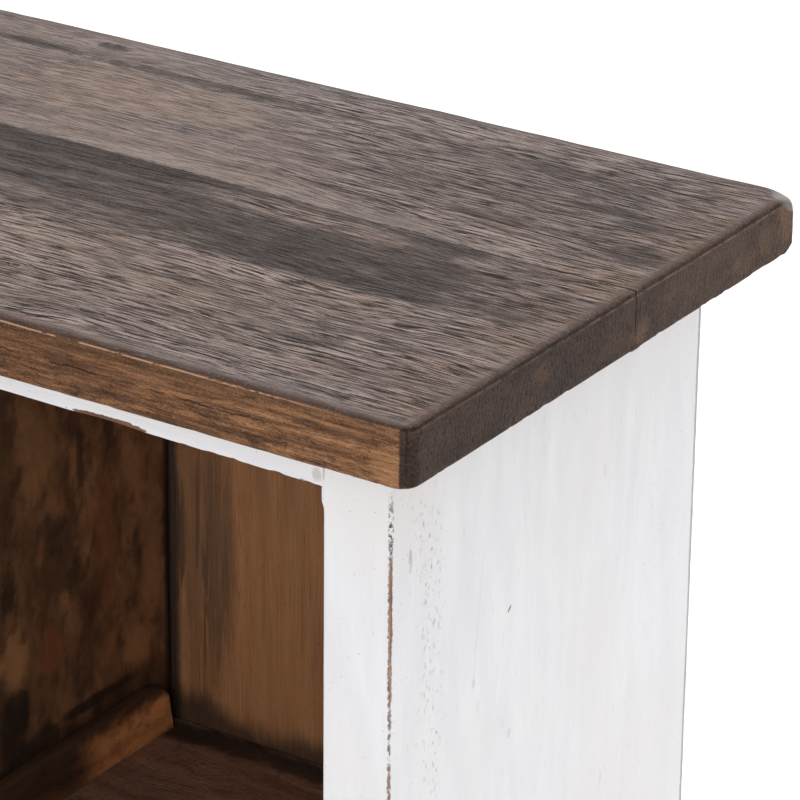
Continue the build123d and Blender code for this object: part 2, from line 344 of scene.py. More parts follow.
# Swirl: the place pushed about, so that what is drawn on it curls as grain does round knots.
n, given, out = new_group("swirl", ["X", "Y", "Z"], Size=50.0, Push=30.0)
drift = n.noise(all_ways(n, "DIVIDE", given["Place"], given["Size"]), output="Color")
push = all_ways(n, "MULTIPLY", n.vector("SUBTRACT", drift, (0.5, 0.5, 0.5)), given["Push"])
for key, value in zip("XYZ", n.split(n.vector("ADD", given["Place"], push))):
    n.feed(value, out[key])

# Growth lines: thin dark lines along X that bend together and break off.
n, given, out = new_group("growth_lines", ["Lines"], Length=80.0, Width=10.0, Rings=12.0,
                          Even=0.0, Broken=0.45)
shares = drawn_out(n, given)
field = n.noise(n.join(*shares), detail=2.5)
turns = n.plus(n.times(field, given["Rings"]), n.times(n.split(given["Place"])[1], given["Even"]))
turns = n.math("SINE", n.times(turns, TURN))
breaks = n.noise(n.join(*(n.times(share, 7.0) for share in shares)), roughness=0.6)
kept = n.step(n.minus(breaks, given["Broken"]), -0.06, 0.06)
n.feed(n.times(n.step(turns, 0.25, 1.0), kept), out["Lines"])

# Figure: growth rings drawn out along X.
n, given, out = new_group("figure", ["Rings"], Length=120.0, Width=22.0, Rings=7.0)
field = n.noise(n.join(*drawn_out(n, given)), detail=1.5, roughness=0.4)
turns = n.times(field, n.times(given["Rings"], TURN))
n.feed(n.plus(n.times(n.math("SINE", turns), 0.5), 0.5), out["Rings"])

# Brushed paint: the marks of a stiff brush drawn along X, in strokes that start and stop.
n, given, out = new_group("brush_marks", ["Tone", "Height"])
along, across, up = n.split(given["Place"])
sway = n.swing(n.noise(given["Place"], (0.006, 0.02, 0.02)), 26.0)
swayed = n.join(along, n.plus(across, sway), n.plus(up, sway))
broad = n.grain(swayed, 60.0, 11.0, 3.0)
fine = n.grain(swayed, 28.0, 1.2, 3.0)
strokes = n.step(n.noise(swayed, (0.012, 0.07, 0.07), 3.0), 0.42, 0.6)
shown = n.times(fine, n.by(strokes, 0.25, 1.0))
n.feed(n.plus(n.times(broad, 0.65), n.times(shown, 0.35)), out["Tone"])
n.feed(n.plus(n.times(shown, 0.7), n.times(broad, 0.8)), out["Height"])


def new_material(name):
    """A named material with an empty tree but for its Principled shader."""
    material = bpy.data.materials.new(name)
    material.use_nodes = True
    tree = material.node_tree
    tree.nodes.clear()
    surface = tree.nodes.new("ShaderNodeBsdfPrincipled")
    output = tree.nodes.new("ShaderNodeOutputMaterial")
    tree.links.new(surface.outputs[0], output.inputs[0])
    return material, Nodes(tree), surface


def dress(n, surface, colour, roughness, height, depth, specular=0.5):
    """Feeds a surface its colour, roughness and relief, the last in millimetres."""
    n.feed(colour, surface.inputs["Base Color"])
    n.feed(roughness, surface.inputs["Roughness"])
    surface.inputs["Specular IOR Level"].default_value = specular
    bump = n.add("Bump", {"Distance": depth * MM, "Height": height})
    n.feed(bump, surface.inputs["Normal"])


# ---- The weathered top ----

top_front_low, top_front_high = corners("top_front_board")
top_back_low, top_back_high = corners("top_back_board")
TOP_END, TOP_BACK, TOP_Z = top_front_high[0], top_back_high[1], top_front_high[2]
TOP_LOW_Z = top_front_low[2]
SEAM_Y = (top_front_high[1] + top_back_low[1]) / 2

TOP_DARK = srgb(68, 54, 50)
TOP_PALE = srgb(128, 111, 105)
TOP_TAN = srgb(128, 106, 91)
TOP_SHEEN_MAUVE = srgb(112, 101, 99)
TOP_SAPWOOD = srgb(122, 111, 103)
TOP_RUST = srgb(100, 72, 51)
TOP_LINE = srgb(14, 6, 3)
TOP_GLINT = srgb(166, 150, 142)
TOP_PORE_AND_SHADE = srgb(24, 17, 14)
TOP_CHARCOAL = srgb(33, 21, 17)
TOP_RIM = srgb(58, 39, 27)
EDGE_DARK = srgb(82, 54, 36)
EDGE_WARM = srgb(122, 84, 57)
EDGE_GOLD = srgb(156, 110, 76)
EDGE_BRIGHT = srgb(184, 134, 94)
EDGE_OLIVE = srgb(80, 58, 40)
EDGE_SMUDGE = srgb(44, 30, 24)
EDGE_ARRIS_HIGHLIGHT = srgb(206, 160, 128)
END_DARK = srgb(58, 44, 38)
END_BROWN = srgb(73, 55, 45)
END_OLIVE = srgb(89, 68, 54)
END_TAN = srgb(132, 100, 74)
END_SPECK = srgb(30, 22, 19)
UNDER_DARK = srgb(112, 82, 54)
UNDER_PALE = srgb(140, 106, 74)

# How far a mark reaches into the wood below the surface that shows it.
MARK_DEPTH = 30

# Marks on the upper face have their middles and reaches in X and Y.
TOP_KNOTS = (
    ((96, 135), (13, 5)), ((391, -3), (12, 2.2)), ((390, -67), (8, 3.4)), ((226, -103), (3, 2)),
    ((-260, -90), (14, 6)), ((-90, 90), (12, 5)),
)
# Middle, reach, strength and shade of each wash of colour; the mauve washes are painted sheen.
TOP_WASHES = (
    ((140, 86), (95, 30), 0.55, TOP_TAN), ((190, 138), (170, 11), 0.5, TOP_SHEEN_MAUVE),
    ((405, -138), (60, 16), 0.5, TOP_SHEEN_MAUVE), ((-200, 60), (120, 34), 0.5, TOP_TAN),
    ((370, 85), (130, 60), 0.6, TOP_DARK), ((250, -90), (110, 40), 0.3, TOP_TAN),
    ((420, -20), (50, 40), 0.5, TOP_DARK),
)
# Middle, reach and strength of each gap in the charcoal streak.
STREAK_GAPS = (
    ((292, 8), (76, 15), 0.65), ((165, -33), (34, 8), 0.55), ((235, -38), (60, 7), 0.3),
    ((392, 4), (30, 14), 0.8),
)
# Middle, reach, raggedness, grit and strength of each charcoal stain.
TOP_STAINS = (
    ((66, 119), (36, 5), 0.8, 12.0, 0.9), ((170, 118), (110, 5), 1.7, 9.0, 0.7),
    ((300, 116), (100, 5), 1.7, 9.0, 0.5), ((370, 112), (60, 4), 0.9, 12.0, 0.5),
    ((392, 86), (26, 5), 0.9, 8.0, 0.9), ((418, 76), (28, 4), 0.9, 8.0, 0.7),
    ((428, 48), (22, 12), 0.9, 10.0, 0.75), ((340, 74), (60, 4), 0.9, 12.0, 0.55),
    ((360, 52), (50, 5), 0.9, 12.0, 0.45), ((300, 40), (40, 4), 0.9, 12.0, 0.4),
    ((366, -24), (32, 17), 0.7, 12.0, 1.0), ((412, -34), (30, 8), 0.9, 10.0, 0.6),
    ((300, -78), (26, 7), 0.9, 9.0, 0.6), ((235, -62), (40, 4), 0.9, 12.0, 0.4),
    ((180, -72), (14, 7), 1.0, 6.0, 0.5), ((360, -98), (60, 4), 0.9, 12.0, 0.4),
    ((-330, -70), (60, 14), 0.9, 12.0, 0.5), ((-60, 80), (80, 10), 0.9, 12.0, 0.45),
    ((-220, 124), (90, 4), 0.9, 12.0, 0.6), ((-120, -110), (70, 7), 0.9, 12.0, 0.5),
)
TOP_CRACKS = (
    ((308, 14), (15, 1.1)), ((332, 16.5), (11, 0.9)), ((352, 18.5), (14, 0.8)),
    ((-180, 15), (30, 0.9)),
)
# Dark smudges on the front edge.
EDGE_SMUDGES = (
    ((417, -TOP_BACK, TOP_LOW_Z + 17), (30, 20, 2.6), 0.4, EDGE_SMUDGE),
    ((405, -TOP_BACK, TOP_LOW_Z + 10), (24, 20, 1.6), 0.4, EDGE_SMUDGE),
    ((372, -TOP_BACK, TOP_LOW_Z + 5), (26, 20, 2.4), 0.4, EDGE_SMUDGE),
    ((425, -TOP_BACK, TOP_LOW_Z + 4), (14, 20, 1.2), 0.35, EDGE_SMUDGE),
)
END_PATCHES = (
    ((TOP_END, 21, TOP_LOW_Z + 6), (20, 10, 6), 0.35, END_TAN),
    ((TOP_END, 122, TOP_LOW_Z + 13), (20, 8, 9), 0.25, END_TAN),
    ((TOP_END, 142, TOP_LOW_Z + 15), (20, 8, 12), 0.5, END_TAN),
    ((TOP_END, 104, TOP_LOW_Z + 8), (20, 16, 7), 0.2, END_TAN),
    ((TOP_END, -56, TOP_LOW_Z + 15), (20, 9, 6), 0.2, END_TAN),
    ((-TOP_END, -90, TOP_LOW_Z + 14), (20, 22, 12), 0.6, END_TAN),
    ((-TOP_END, 60, TOP_LOW_Z + 8), (20, 14, 10), 0.5, END_TAN),
)


def long_edges(n, place):
    """Golden brown, smudged dark, with a painted highlight on the worn arris: its colour, its streaks
    and a crack.
    """
    x, y, z = n.split(place)
    streaks = n.grain(place, 45.0, 2.2, 4.0)
    fine = n.grain(place, 16.0, 0.8, 2.0)
    toward_end = n.step(x, 300.0, 440.0, 0.0, 0.8)
    colour = n.mix(streaks, n.mix(toward_end, EDGE_DARK, EDGE_WARM),
                   n.mix(toward_end, EDGE_GOLD, EDGE_BRIGHT))
    colour = n.tint(colour, EDGE_DARK, n.step(fine, 0.45, 0.12, 0.0, 0.6))
    colour = n.tint(colour, EDGE_OLIVE, n.step(z, TOP_Z - 9, TOP_Z - 3, 0.0, 0.5))
    smudges = n.step(n.noise(place, (0.07, 0.22, 0.22), 6.0, 0.75), 0.48, 0.66)
    band = n.max(n.step(z, TOP_LOW_Z + 15, TOP_LOW_Z + 6, 0.2, 0.75),
                 n.step(z, TOP_Z - 8, TOP_Z - 3, 0.0, 0.7))
    colour = n.tint(colour, EDGE_SMUDGE, smudges, band)

    # Short pores lean across the edges.
    leaning = n.join(n.minus(n.times(x, 0.94), n.times(z, 0.34)),
                     n.plus(n.times(x, 0.34), n.times(z, 0.94)), y)
    pores = n.group("pores", Place=leaning, Length=4.0, Width=0.7, Share=0.42)
    colour = n.tint(colour, EDGE_SMUDGE, pores,
                    n.step(z, TOP_LOW_Z + 17, TOP_LOW_Z + 9, 0.1, 0.6))
    grit = n.noise(place, (1.2, 1.6, 1.6), 2.0, 0.8)
    colour = n.tint(colour, EDGE_SMUDGE, n.step(grit, 0.47, 0.33, 0.0, 0.6))
    colour = n.tint(colour, EDGE_BRIGHT, n.step(grit, 0.55, 0.7, 0.0, 0.35))
    colour = n.marks(colour, place, EDGE_SMUDGES, 1.6, 4.0)
    bright_end = n.spot(place, (437, -TOP_BACK, TOP_LOW_Z + 7), (9, 20, 9), 1.0, 6.0)
    colour = n.tint(colour, EDGE_BRIGHT, bright_end, 0.45)

    wobble = n.times(n.noise(place, (0.1, 0, 0.02), 5.0, 0.75), 5.0)
    breaks = n.times(n.step(n.noise(place, (0.05, 0, 0.3), 4.0, 0.7), 0.43, 0.53),
                     n.step(x, 400.0, 370.0))
    crack = n.times(n.line(z, n.plus(TOP_LOW_Z + 10.3, wobble), 0.55, 0.15), breaks)
    colour = n.tint(colour, TOP_PORE_AND_SHADE, crack, 0.8)
    # A pale line along the worn upper arris, painted as a highlight.
    arris = n.times(n.line(z, TOP_Z - 1.9, 0.5, 0.15),
                    n.step(n.noise(place, (0.07, 0, 0.3), 4.0, 0.7), 0.43, 0.5),
                    n.step(x, 410.0, 380.0, 0.15, 0.75))
    return n.tint(colour, EDGE_ARRIS_HIGHLIGHT, arris), streaks, crack


def top_ends(n, place):
    """Dark end grain, browner and patched with orange toward the back: colour, grit and breaks."""
    y, z = n.split(place)[1:]
    slow = n.noise(place, (0.05, 0.06, 0.09), 5.0, 0.65)
    grit = n.noise(place, (0.8, 0.8, 0.8), 3.0, 0.7)
    toward_back = n.step(y, -40.0, 90.0)
    colour = n.mix(n.step(slow, 0.38, 0.62), n.mix(toward_back, END_DARK, END_BROWN),
                   n.mix(toward_back, END_BROWN, END_OLIVE))
    colour = n.marks(colour, n.curled(place, 6.0, 9.0), END_PATCHES, 1.6, 7.0)
    colour = n.tint(colour, END_SPECK, n.step(grit, 0.5, 0.64), n.step(y, -20.0, 60.0, 0.8, 0.45))
    colour = n.tint(colour, END_OLIVE, n.step(grit, 0.44, 0.32, 0.0, 0.4))
    crack = n.line(z, n.plus(TOP_Z - 4.2, n.times(slow, 4.0)), 0.7, 0.2)
    colour = n.tint(colour, TOP_PORE_AND_SHADE, crack, n.step(grit, 0.42, 0.56), 0.8)
    breaks = n.step(n.noise(place, (0, 0.16, 0.3), 5.0, 0.75), 0.42, 0.56)
    arris = n.line(z, n.minus(TOP_Z - 1.9, n.times(grit, 1.6)), 0.6, 0.2)
    colour = n.tint(colour, END_TAN, arris, breaks, n.step(y, -120.0, 30.0, 0.25, 0.7))
    return colour, grit, breaks


def weathered_top():
    """Stained board greyed on top, orange-brown on its long edges and dark on its ends."""
    material, n, surface = new_material("weathered_top")
    place = n.place()
    x, y, z = n.split(place)

    def top_spot(place, middle, reach, ragged, grit):
        return n.spot(place, (*middle, TOP_Z), (*reach, MARK_DEPTH), ragged, grit)

    # The grain wanders from straight and parts round the knots.
    grain_y = n.plus(y, n.swing(n.noise(place, (0.0065, 0.02, 0.02)), 20.0))
    knots = []
    for middle, reach in TOP_KNOTS:
        offset = n.vector("DIVIDE", n.vector("SUBTRACT", place, (*middle, TOP_Z)),
                          (reach[0] * 3.5, reach[1] * 3.5, 60))
        parted = n.times(n.step(n.length(offset), 1.0, 0.0), n.minus(y, middle[1]), 0.65)
        grain_y = n.minus(grain_y, parted)
        knots.append(top_spot(place, middle, reach, 0.9, 4.0))
    grain_place = n.join(x, grain_y, z)

    broad = n.grain(grain_place, 130.0, 9.0, 3.0)
    dense = n.grain(grain_place, 70.0, 10.0, 3.0)
    streaks = n.grain(grain_place, 13.0, 0.6, 3.0)
    lines = n.group("growth_lines", Place=grain_place, Length=130.0, Width=15.0, Rings=5.0,
                    Even=0.36, Broken=0.48)
    patches = n.step(n.noise(place, (0.014, 0.03, 0.03), 4.0, 0.6), 0.42, 0.62)
    flecks = n.noise(place, (0.8, 1.0, 1.0), 3.0, 0.85)

    # Seam between heartwood and sapwood, a little off the glue line.
    seam_y = n.plus(SEAM_Y, n.times(n.step(x, 447.0, 130.0, 0.0, 8.5), n.step(x, -250.0, 0.0)))
    ragged_y = n.plus(y, n.swing(n.noise(place, (0.14, 0.3, 0), 5.0, 0.75), 8.0))
    from_seam = n.minus(ragged_y, seam_y)

    colour = n.mix(broad, TOP_DARK, TOP_PALE)
    colour = n.tint(colour, TOP_TAN, patches, 0.35)
    # Painted sheen: the top turns paler and greyer toward the back.
    colour = n.tint(colour, TOP_SHEEN_MAUVE, n.step(y, -10.0, 120.0, 0.0, 0.5))
    for middle, reach, strength, shade in TOP_WASHES:
        colour = n.tint(colour, shade, top_spot(place, middle, reach, 1.6, 20.0), strength)
    pale = n.times(n.step(from_seam, -0.5, 1.0), n.step(from_seam, 17.0, 6.0),
                   n.step(x, 420.0, 270.0, 0.15, 1.0))
    colour = n.tint(colour, TOP_SAPWOOD, pale, 0.5)
    colour = n.tint(colour, TOP_RUST, n.step(x, 396.0, 436.0), n.step(dense, 0.2, 0.7), 0.6)

    # The charcoal streak along the front board's back edge, wide at the left.
    curled = n.curled(place, 22.0, 10.0)
    gaps = n.max(*(n.times(top_spot(curled, middle, reach, 0.8, 12.0), strength)
                   for middle, reach, strength in STREAK_GAPS))
    streak = n.times(
        n.step(n.split(curled)[1], -52.0, -42.0), n.step(from_seam, 0.8, -1.2),
        n.step(x, 405.0, 375.0), n.minus(1.0, gaps), n.step(broad, 0.2, 1.0, 1.0, 0.75),
        n.step(x, -330.0, -120.0))
    # Broad stains curl with the grain and narrow ones run straight.
    stains = n.max(*(
        n.times(top_spot(curled if reach[1] > 6 else place, middle, reach, ragged, grit), strength)
        for middle, reach, ragged, grit, strength in TOP_STAINS))
    streak = n.max(streak, stains)
    colour = n.tint(colour, TOP_CHARCOAL, streak, 0.95)

    # Rolled brown rims just inside the top's edges.
    from_end = n.minus(TOP_END, n.abs(x))
    inside = n.minus(n.math("MINIMUM", from_end, n.minus(TOP_BACK, n.abs(y))),
                     n.times(n.noise(place, (0.12, 0.12, 0.12), 3.0), 2.0))
    colour = n.tint(colour, TOP_RIM, n.step(inside, 9.0, 2.0, 0.0, 0.4))
    colour = n.tint(colour, TOP_RIM, n.step(inside, 3.4, 1.8, 0.0, 0.8))

    # Dark lines of grain with pale ridges between, rubbed smooth in one place, and a speckle.
    rubbed = n.spot(place, (70, 70, TOP_Z), (260, 120, 60), 0.7, 60.0)
    fading_rim = n.step(inside, 1.5, 8.0, 0.2, 1.0)
    line_depth = n.times(n.step(dense, 0.1, 0.7, 0.6, 1.15), n.by(streak, 1.0, 0.25),
                         n.by(pale, 1.0, 0.4), n.by(rubbed, 1.0, 0.4), fading_rim)
    colour = n.tint(colour, TOP_GLINT, n.step(streaks, 0.56, 0.9), n.times(line_depth, 0.4))
    colour = n.tint(colour, TOP_LINE, n.step(streaks, 0.42, 0.17), line_depth)
    colour = n.tint(colour, TOP_LINE, lines, line_depth, 0.85)
    speckle = n.max(n.by(rubbed, 0.55, 0.45), streak)
    glints = n.times(speckle, n.by(streak, 0.38, 0.17))
    colour = n.tint(colour, TOP_GLINT, n.step(flecks, 0.54, 0.7), glints)
    colour = n.tint(colour, TOP_LINE, n.step(flecks, 0.47, 0.33), speckle)
    cracks = n.max(*(top_spot(grain_place, middle, reach, 0.9, 5.0)
                     for middle, reach in TOP_CRACKS))
    colour = n.tint(colour, TOP_PORE_AND_SHADE, n.max(n.max(*knots), cracks), 0.85)

    # The worn back corners keep the grey of the top as they turn down.
    edge_colour, edge_streaks, edge_crack = long_edges(n, place)
    end_colour, end_grit, end_breaks = top_ends(n, place)
    end_mask = n.step(n.abs(x), TOP_END - 5.4, TOP_END - 4.4)
    from_corner = n.length(n.join(from_end, n.times(n.minus(TOP_BACK, y), 0.8), 0.0))
    facet = n.step(from_corner, 12.0, 2.0)
    top_mask = n.step(n.plus(z, n.times(facet, 6.5)), TOP_Z - 2.0, TOP_Z - 1.0)
    colour = n.mix(top_mask, n.mix(end_mask, edge_colour, end_colour), colour)
    # Painted shade: a dark ragged line where the top turns down into each end.
    lip_shade = n.times(n.line(z, n.plus(TOP_Z - 1.6, n.swing(end_grit, 2.4)), 0.75, 0.25), end_mask,
                  n.step(facet, 0.5, 0.1))
    colour = n.tint(colour, TOP_PORE_AND_SHADE, lip_shade, n.by(end_breaks, 0.85, 0.4))
    under_mask = n.step(z, TOP_LOW_Z + 1.0, TOP_LOW_Z + 0.3)
    colour = n.mix(under_mask, colour, n.mix(edge_streaks, UNDER_DARK, UNDER_PALE))

    # The glue line: dark on the ends, and here and there on the top.
    joint = n.line(n.plus(y, n.swing(end_grit, 2.5)), SEAM_Y, 0.9, 0.2)
    joint = n.times(joint, n.times(end_mask, n.step(z, TOP_LOW_Z + 5, TOP_LOW_Z + 12, 0.25, 0.85)))
    top_joint = n.times(n.step(n.abs(from_seam), 0.7, 0.25), top_mask,
                        n.step(x, 230.0, 345.0, 0.15, 0.75))
    colour = n.tint(colour, TOP_PORE_AND_SHADE, n.max(joint, top_joint))

    off_rim = n.max(fading_rim, n.step(z, TOP_Z - 2.5, TOP_Z - 4.5))
    ridge = n.minus(1.0, n.times(n.max(lines, n.step(streaks, 0.4, 0.1)), off_rim))
    height = n.minus(n.plus(n.times(ridge, 0.6), n.times(flecks, 0.5)), n.times(edge_crack, 0.8))
    dress(n, surface, colour, n.by(ridge, 0.7, 0.48), height, depth=0.45, specular=0.12)
    waxed = n.times(n.step(from_corner, 12.0, 7.0), top_mask, 0.95)
    n.feed(n.plus(waxed, n.times(ridge, top_mask, 0.04)), surface.inputs["Coat Weight"])
    surface.inputs["Coat Roughness"].default_value = 0.24
    return material


TOP_ARRIS = 2.5
LOWER_ARRIS = 1.2
SEAM_ARRIS = 0.12


def top_rows():
    """Row places along the top's length, close together at both ends."""
    end = ARRIS_ROWS * TOP_ARRIS
    close = np.arange(TOP_ARRIS + 1.2, 16, 1.4)
    half = np.concatenate([end, close])
    inner = TOP_END - half[-1]
    middle = np.linspace(-inner, inner, round(2 * inner / 4.2) + 1)
    return np.concatenate([-TOP_END + half[:-1], middle, TOP_END - half[:-1][::-1]])


def top_relief(places, out):
    """How deep wear has cut into a top board at each place."""
    x, y, z = places.T
    up, forward, endways = out[:, 2], out[:, 1], out[:, 0]
    from_end = TOP_END - np.abs(x)
    from_edge = TOP_BACK - np.abs(y)

    wander = 3 * waves(x / 90, y / 25, 11)
    ridges = waves(x / 26, (y + wander) / 3.1, 12) + 0.6 * waves(x / 14, (y + wander) / 1.7, 13)
    strong = 0.35 + hollow(x, y, (262, -128), (70, 34)) + 0.8 * hollow(x, y, (-300, -60), (120, 50))
    top = 0.16 + 0.1 * strong * ridges + 0.14 * rough(x / 70, y / 30, 14)
    for middle, reach in TOP_KNOTS:
        top = top + 0.5 * hollow(x, y, middle, reach)
    # Each board is cupped a little along the seam.
    top = top + 0.08 * (1 - ease(np.abs(y - SEAM_Y), 0, 5))

    side = 0.12 + 0.12 * rough(x / 30, z / 6, 21) + 0.35 * (
        ease(waves(x / 22, np.zeros_like(x), 22), 0.0, 0.5)
        * (1 - ease(np.abs(z - TOP_LOW_Z - 13 - waves(x / 9, z * 0, 23)), 0.3, 1.8))
    )
    end = 0.15 + 0.2 * rough(y / 14, z / 9, 31)

    depth = np.where(up > 0, up**2 * top, 0) + forward**2 * side + endways**2 * end
    # The arrises themselves are knocked about more than the flats.
    beside_top = 1 - ease(TOP_Z - z, 0.5, 7)
    along = np.where(from_end < from_edge, y, x)
    near = 1 - ease(np.minimum(from_end, from_edge), 0, 5)
    knocks = 0.32 * (1 + rough(along / 17, z / 40, 41)) * near * beside_top
    low_knocks = 0.3 * ease(rough(along / 6, z * 0, 43), 0.25, 0.6) * near * (
        1 - ease(z - TOP_LOW_Z, 0.3, 3))
    return np.maximum(depth + knocks + low_knocks, 0)


def dubbed(places):
    """The back corners worn down from above and a little from below."""
    x, y, z = places.T
    height = (z - TOP_LOW_Z) / (TOP_Z - TOP_LOW_Z)
    reach = np.hypot(TOP_END - np.abs(x), (TOP_BACK - y) * 0.8)
    side = np.where(x > 0, 1, 0.6)
    round_over = np.clip(1 - reach / 15, 0, 1)
    above = 1.2 * (1 - np.sqrt(1 - round_over**2)) * ease(height, 0.45, 1)
    below = (1 - ease(reach, 0, 7)) * (1 - ease(height, 0, 0.4))
    moved = places.copy()
    moved[:, 2] = z - side * (5.5 * above - 3.2 * below)
    return moved


def top_board(node, material, corner_radius):
    """One board of the top, with worn arrises, raised grain and rounded outer corners."""
    low, high = corners(node)
    is_front = node == "top_front_board"
    # The boards meet tightly at the glue line.
    (high if is_front else low)[1] = SEAM_Y
    places, faces = block_skin([
        top_rows(),
        rows_between(low[1], high[1], TOP_ARRIS, 1.25),
        rows_between(low[2], high[2], TOP_ARRIS, 1.1),
    ])
    radius = np.interp(places[:, 2], [low[2] + 6, high[2] - 6], [LOWER_ARRIS, TOP_ARRIS])
    by_seam = 1 - ease(np.abs(places[:, 1] - SEAM_Y), 1, 7)
    radius = radius * (1 - by_seam) + SEAM_ARRIS * by_seam
    places, out = eased(places, low, high, radius)

    # Outer corners, seen from above: a square of the plan is drawn onto a quarter round.
    outer = low[1] if is_front else high[1]
    away_x = (np.abs(places[:, 0]) - (TOP_END - corner_radius)) / corner_radius
    away_y = (np.abs(places[:, 1]) - (abs(outer) - corner_radius)) / corner_radius
    in_corner = (away_x > 0) & (away_y > 0)
    reach = np.hypot(away_x, away_y)
    pull = np.where(in_corner, np.maximum(away_x, away_y) / np.maximum(reach, 1e-9), 1)
    sign_x, sign_y = np.sign(places[:, 0]), np.sign(outer)
    turned = np.stack([sign_x * away_x, sign_y * away_y], axis=1) / np.maximum(reach, 1e-9)[:, None]
    flat = np.hypot(out[:, 0], out[:, 1])[:, None]
    out[:, :2] = np.where(in_corner[:, None], turned * flat, out[:, :2])
    places[:, 0] = np.where(
        in_corner, sign_x * (TOP_END - corner_radius * (1 - away_x * pull)), places[:, 0])
    places[:, 1] = np.where(
        in_corner, sign_y * (abs(outer) - corner_radius * (1 - away_y * pull)), places[:, 1])

    places = places - out * top_relief(places, out)[:, None]
    if not is_front:
        places = dubbed(places)
    finish_piece(f"worn_{node}", node, places, faces, material)


top_material = weathered_top()
top_board("top_front_board", top_material, 8.0)
top_board("top_back_board", top_material, 3.5)

# ---- The white painted frame ----

post_low, post_high = corners("post_front_right")
POST_IN_X, POST_OUT_X = post_low[0], post_high[0]
POST_OUT_Y, POST_IN_Y = -post_low[1], -post_high[1]
PANEL_THICK = 20
ARCH_HALF, ARCH_RISE = POST_IN_Y - 12, 34.0
ARCH_RADIUS = (ARCH_HALF**2 + ARCH_RISE**2) / (2 * ARCH_RISE)
ARCH_Z = corners("end_panel_right")[0][2] + ARCH_RISE - ARCH_RADIUS
RAIL_LOW = corners("front_top_rail")[0][2]
RAIL_RISE = 2.8
BOTTOM_RAIL_LOW = corners("front_bottom_rail")[0][2]
FLOOR_Z = corners("floor_front_board")[1][2]


def white_paint(name, upright, arris, dotted, bare_dark, bare_pale):
    """Brushed white paint, worn to the wood where the arris function says."""
    material, n, surface = new_material(name)
    place = n.place()
    x, y, z = n.split(place)
    brush_place = n.join(z, x, y) if upright else n.join(x, y, z)
    tone = n.group("brush_marks", Place=brush_place)
    cloud = n.noise(place, (0.012, 0.012, 0.008), 3.0)
    colour = n.mix(tone, srgb(231, 230, 233), srgb(241, 241, 243))
    colour = n.tint(colour, srgb(236, 232, 231), n.step(cloud, 0.45, 0.7, 0.0, 0.7))
    dots = n.group("specks", Place=place, Cell=4.6, Size=0.085, Share=0.7)
    colour = n.tint(colour, srgb(150, 136, 130), dots, dotted)

    worn, rim, pits, inside = arris(n, place, x, y, z)
    colour = n.tint(colour, srgb(176, 171, 170), pits, 0.6)
    colour = n.mix(worn, colour, n.mix(n.grain(brush_place, 16.0, 0.8, 2.0), bare_dark, bare_pale))
    colour = n.tint(colour, srgb(62, 52, 54), rim)
    if inside is not None:
        stain = n.mix(n.grain(brush_place, 90.0, 6.0, 4.0), srgb(84, 54, 34), srgb(134, 92, 58))
        colour = n.mix(inside, colour, stain)
    relief = n.minus(tone.node.outputs["Height"], n.plus(n.times(worn, 1.2), n.times(pits, 1.6)))
    dress(n, surface, colour, n.blend(worn, 0.42, 0.75), relief, depth=0.14)
    return material


def post_arris(n, place, x, y, z):
    """A post's outer corner: bare wood below, black specks above, clean under the top."""
    from_end = n.minus(POST_OUT_X, n.abs(x))
    from_front = n.minus(POST_OUT_Y, n.abs(y))
    away = n.plus(from_end, from_front)
    at_front = n.step(y, 0.0, -1.0)
    wobble = n.swing(n.noise(place, (0.5, 0.5, 0.4), 5.0, 0.8), 1.7)
    below = n.times(n.step(z, 382.0, 374.0), at_front)
    thin = n.step(n.noise(place, (0, 0, 0.06), 3.0), 0.3, 0.65, 0.95, 1.2)
    worn_edge = n.minus(n.plus(away, wobble), thin)
    worn = n.times(n.step(worn_edge, 0.7, 0.4), below)
    # Dark specks where the paint broke off, and in the bare wood.
    grit = n.step(n.noise(place, (0.9, 0.9, 0.6), 3.0, 0.75), 0.47, 0.55)
    broken = n.times(n.line(worn_edge, 0.7, 0.35, 0.1), grit, below, 0.75)
    specks_up = n.times(n.step(z, 372.0, 380.0), n.step(z, 410.0, 392.0))
    speckled = n.times(grit, n.step(away, 2.3, 1.3), n.times(specks_up, at_front))
    # At the back the arris shows only as a thin grey line.
    at_back = n.times(n.step(y, 0.0, 1.0), n.step(from_end, 1.1, 0.6))
    back_line = n.times(n.line(n.plus(from_front, wobble), 1.9, 1.5, 0.6), at_back, 0.55)
    rim = n.max(speckled, broken, n.max(n.times(grit, worn, 0.2), back_line))
    # Pits in the paint of the end faces, thick in one strip behind the front corner.
    pitting = n.noise(place, (0.5, 0.5, 0.28), 4.0, 0.7)
    strip = n.times(n.step(y, -112.0, -102.0), n.step(y, -77.0, -88.0),
                    n.step(n.noise(place, (0.02, 0.06, 0.012), 3.0), 0.36, 0.5))
    chip = n.spot(place, (POST_OUT_X, -106.3, 372), (4, 1.6, 7), 1.2, 2.0)
    pits = n.max(n.times(n.step(pitting, 0.56, 0.68), n.by(strip, 0.1, 1.0)),
                 n.times(chip, n.step(pitting, 0.42, 0.5)))
    pits = n.times(pits, n.step(from_end, 0.8, 0.3))
    # Above the floor the faces toward the compartments are stained, up to a ragged edge of paint.
    side_face = n.times(n.step(n.abs(x), POST_IN_X + 0.7, POST_IN_X + 0.3),
                        n.step(n.plus(y, n.times(wobble, 1.5)), -117.5, -116.8))
    return_face = n.times(n.step(n.abs(y), POST_IN_Y + 0.6, POST_IN_Y + 0.2),
                          n.step(n.abs(x), POST_OUT_X - 19.4, POST_OUT_X - 20.0))
    inside = n.times(n.max(side_face, return_face), n.step(z, FLOOR_Z - 19, FLOOR_Z - 17))
    return worn, rim, pits, inside


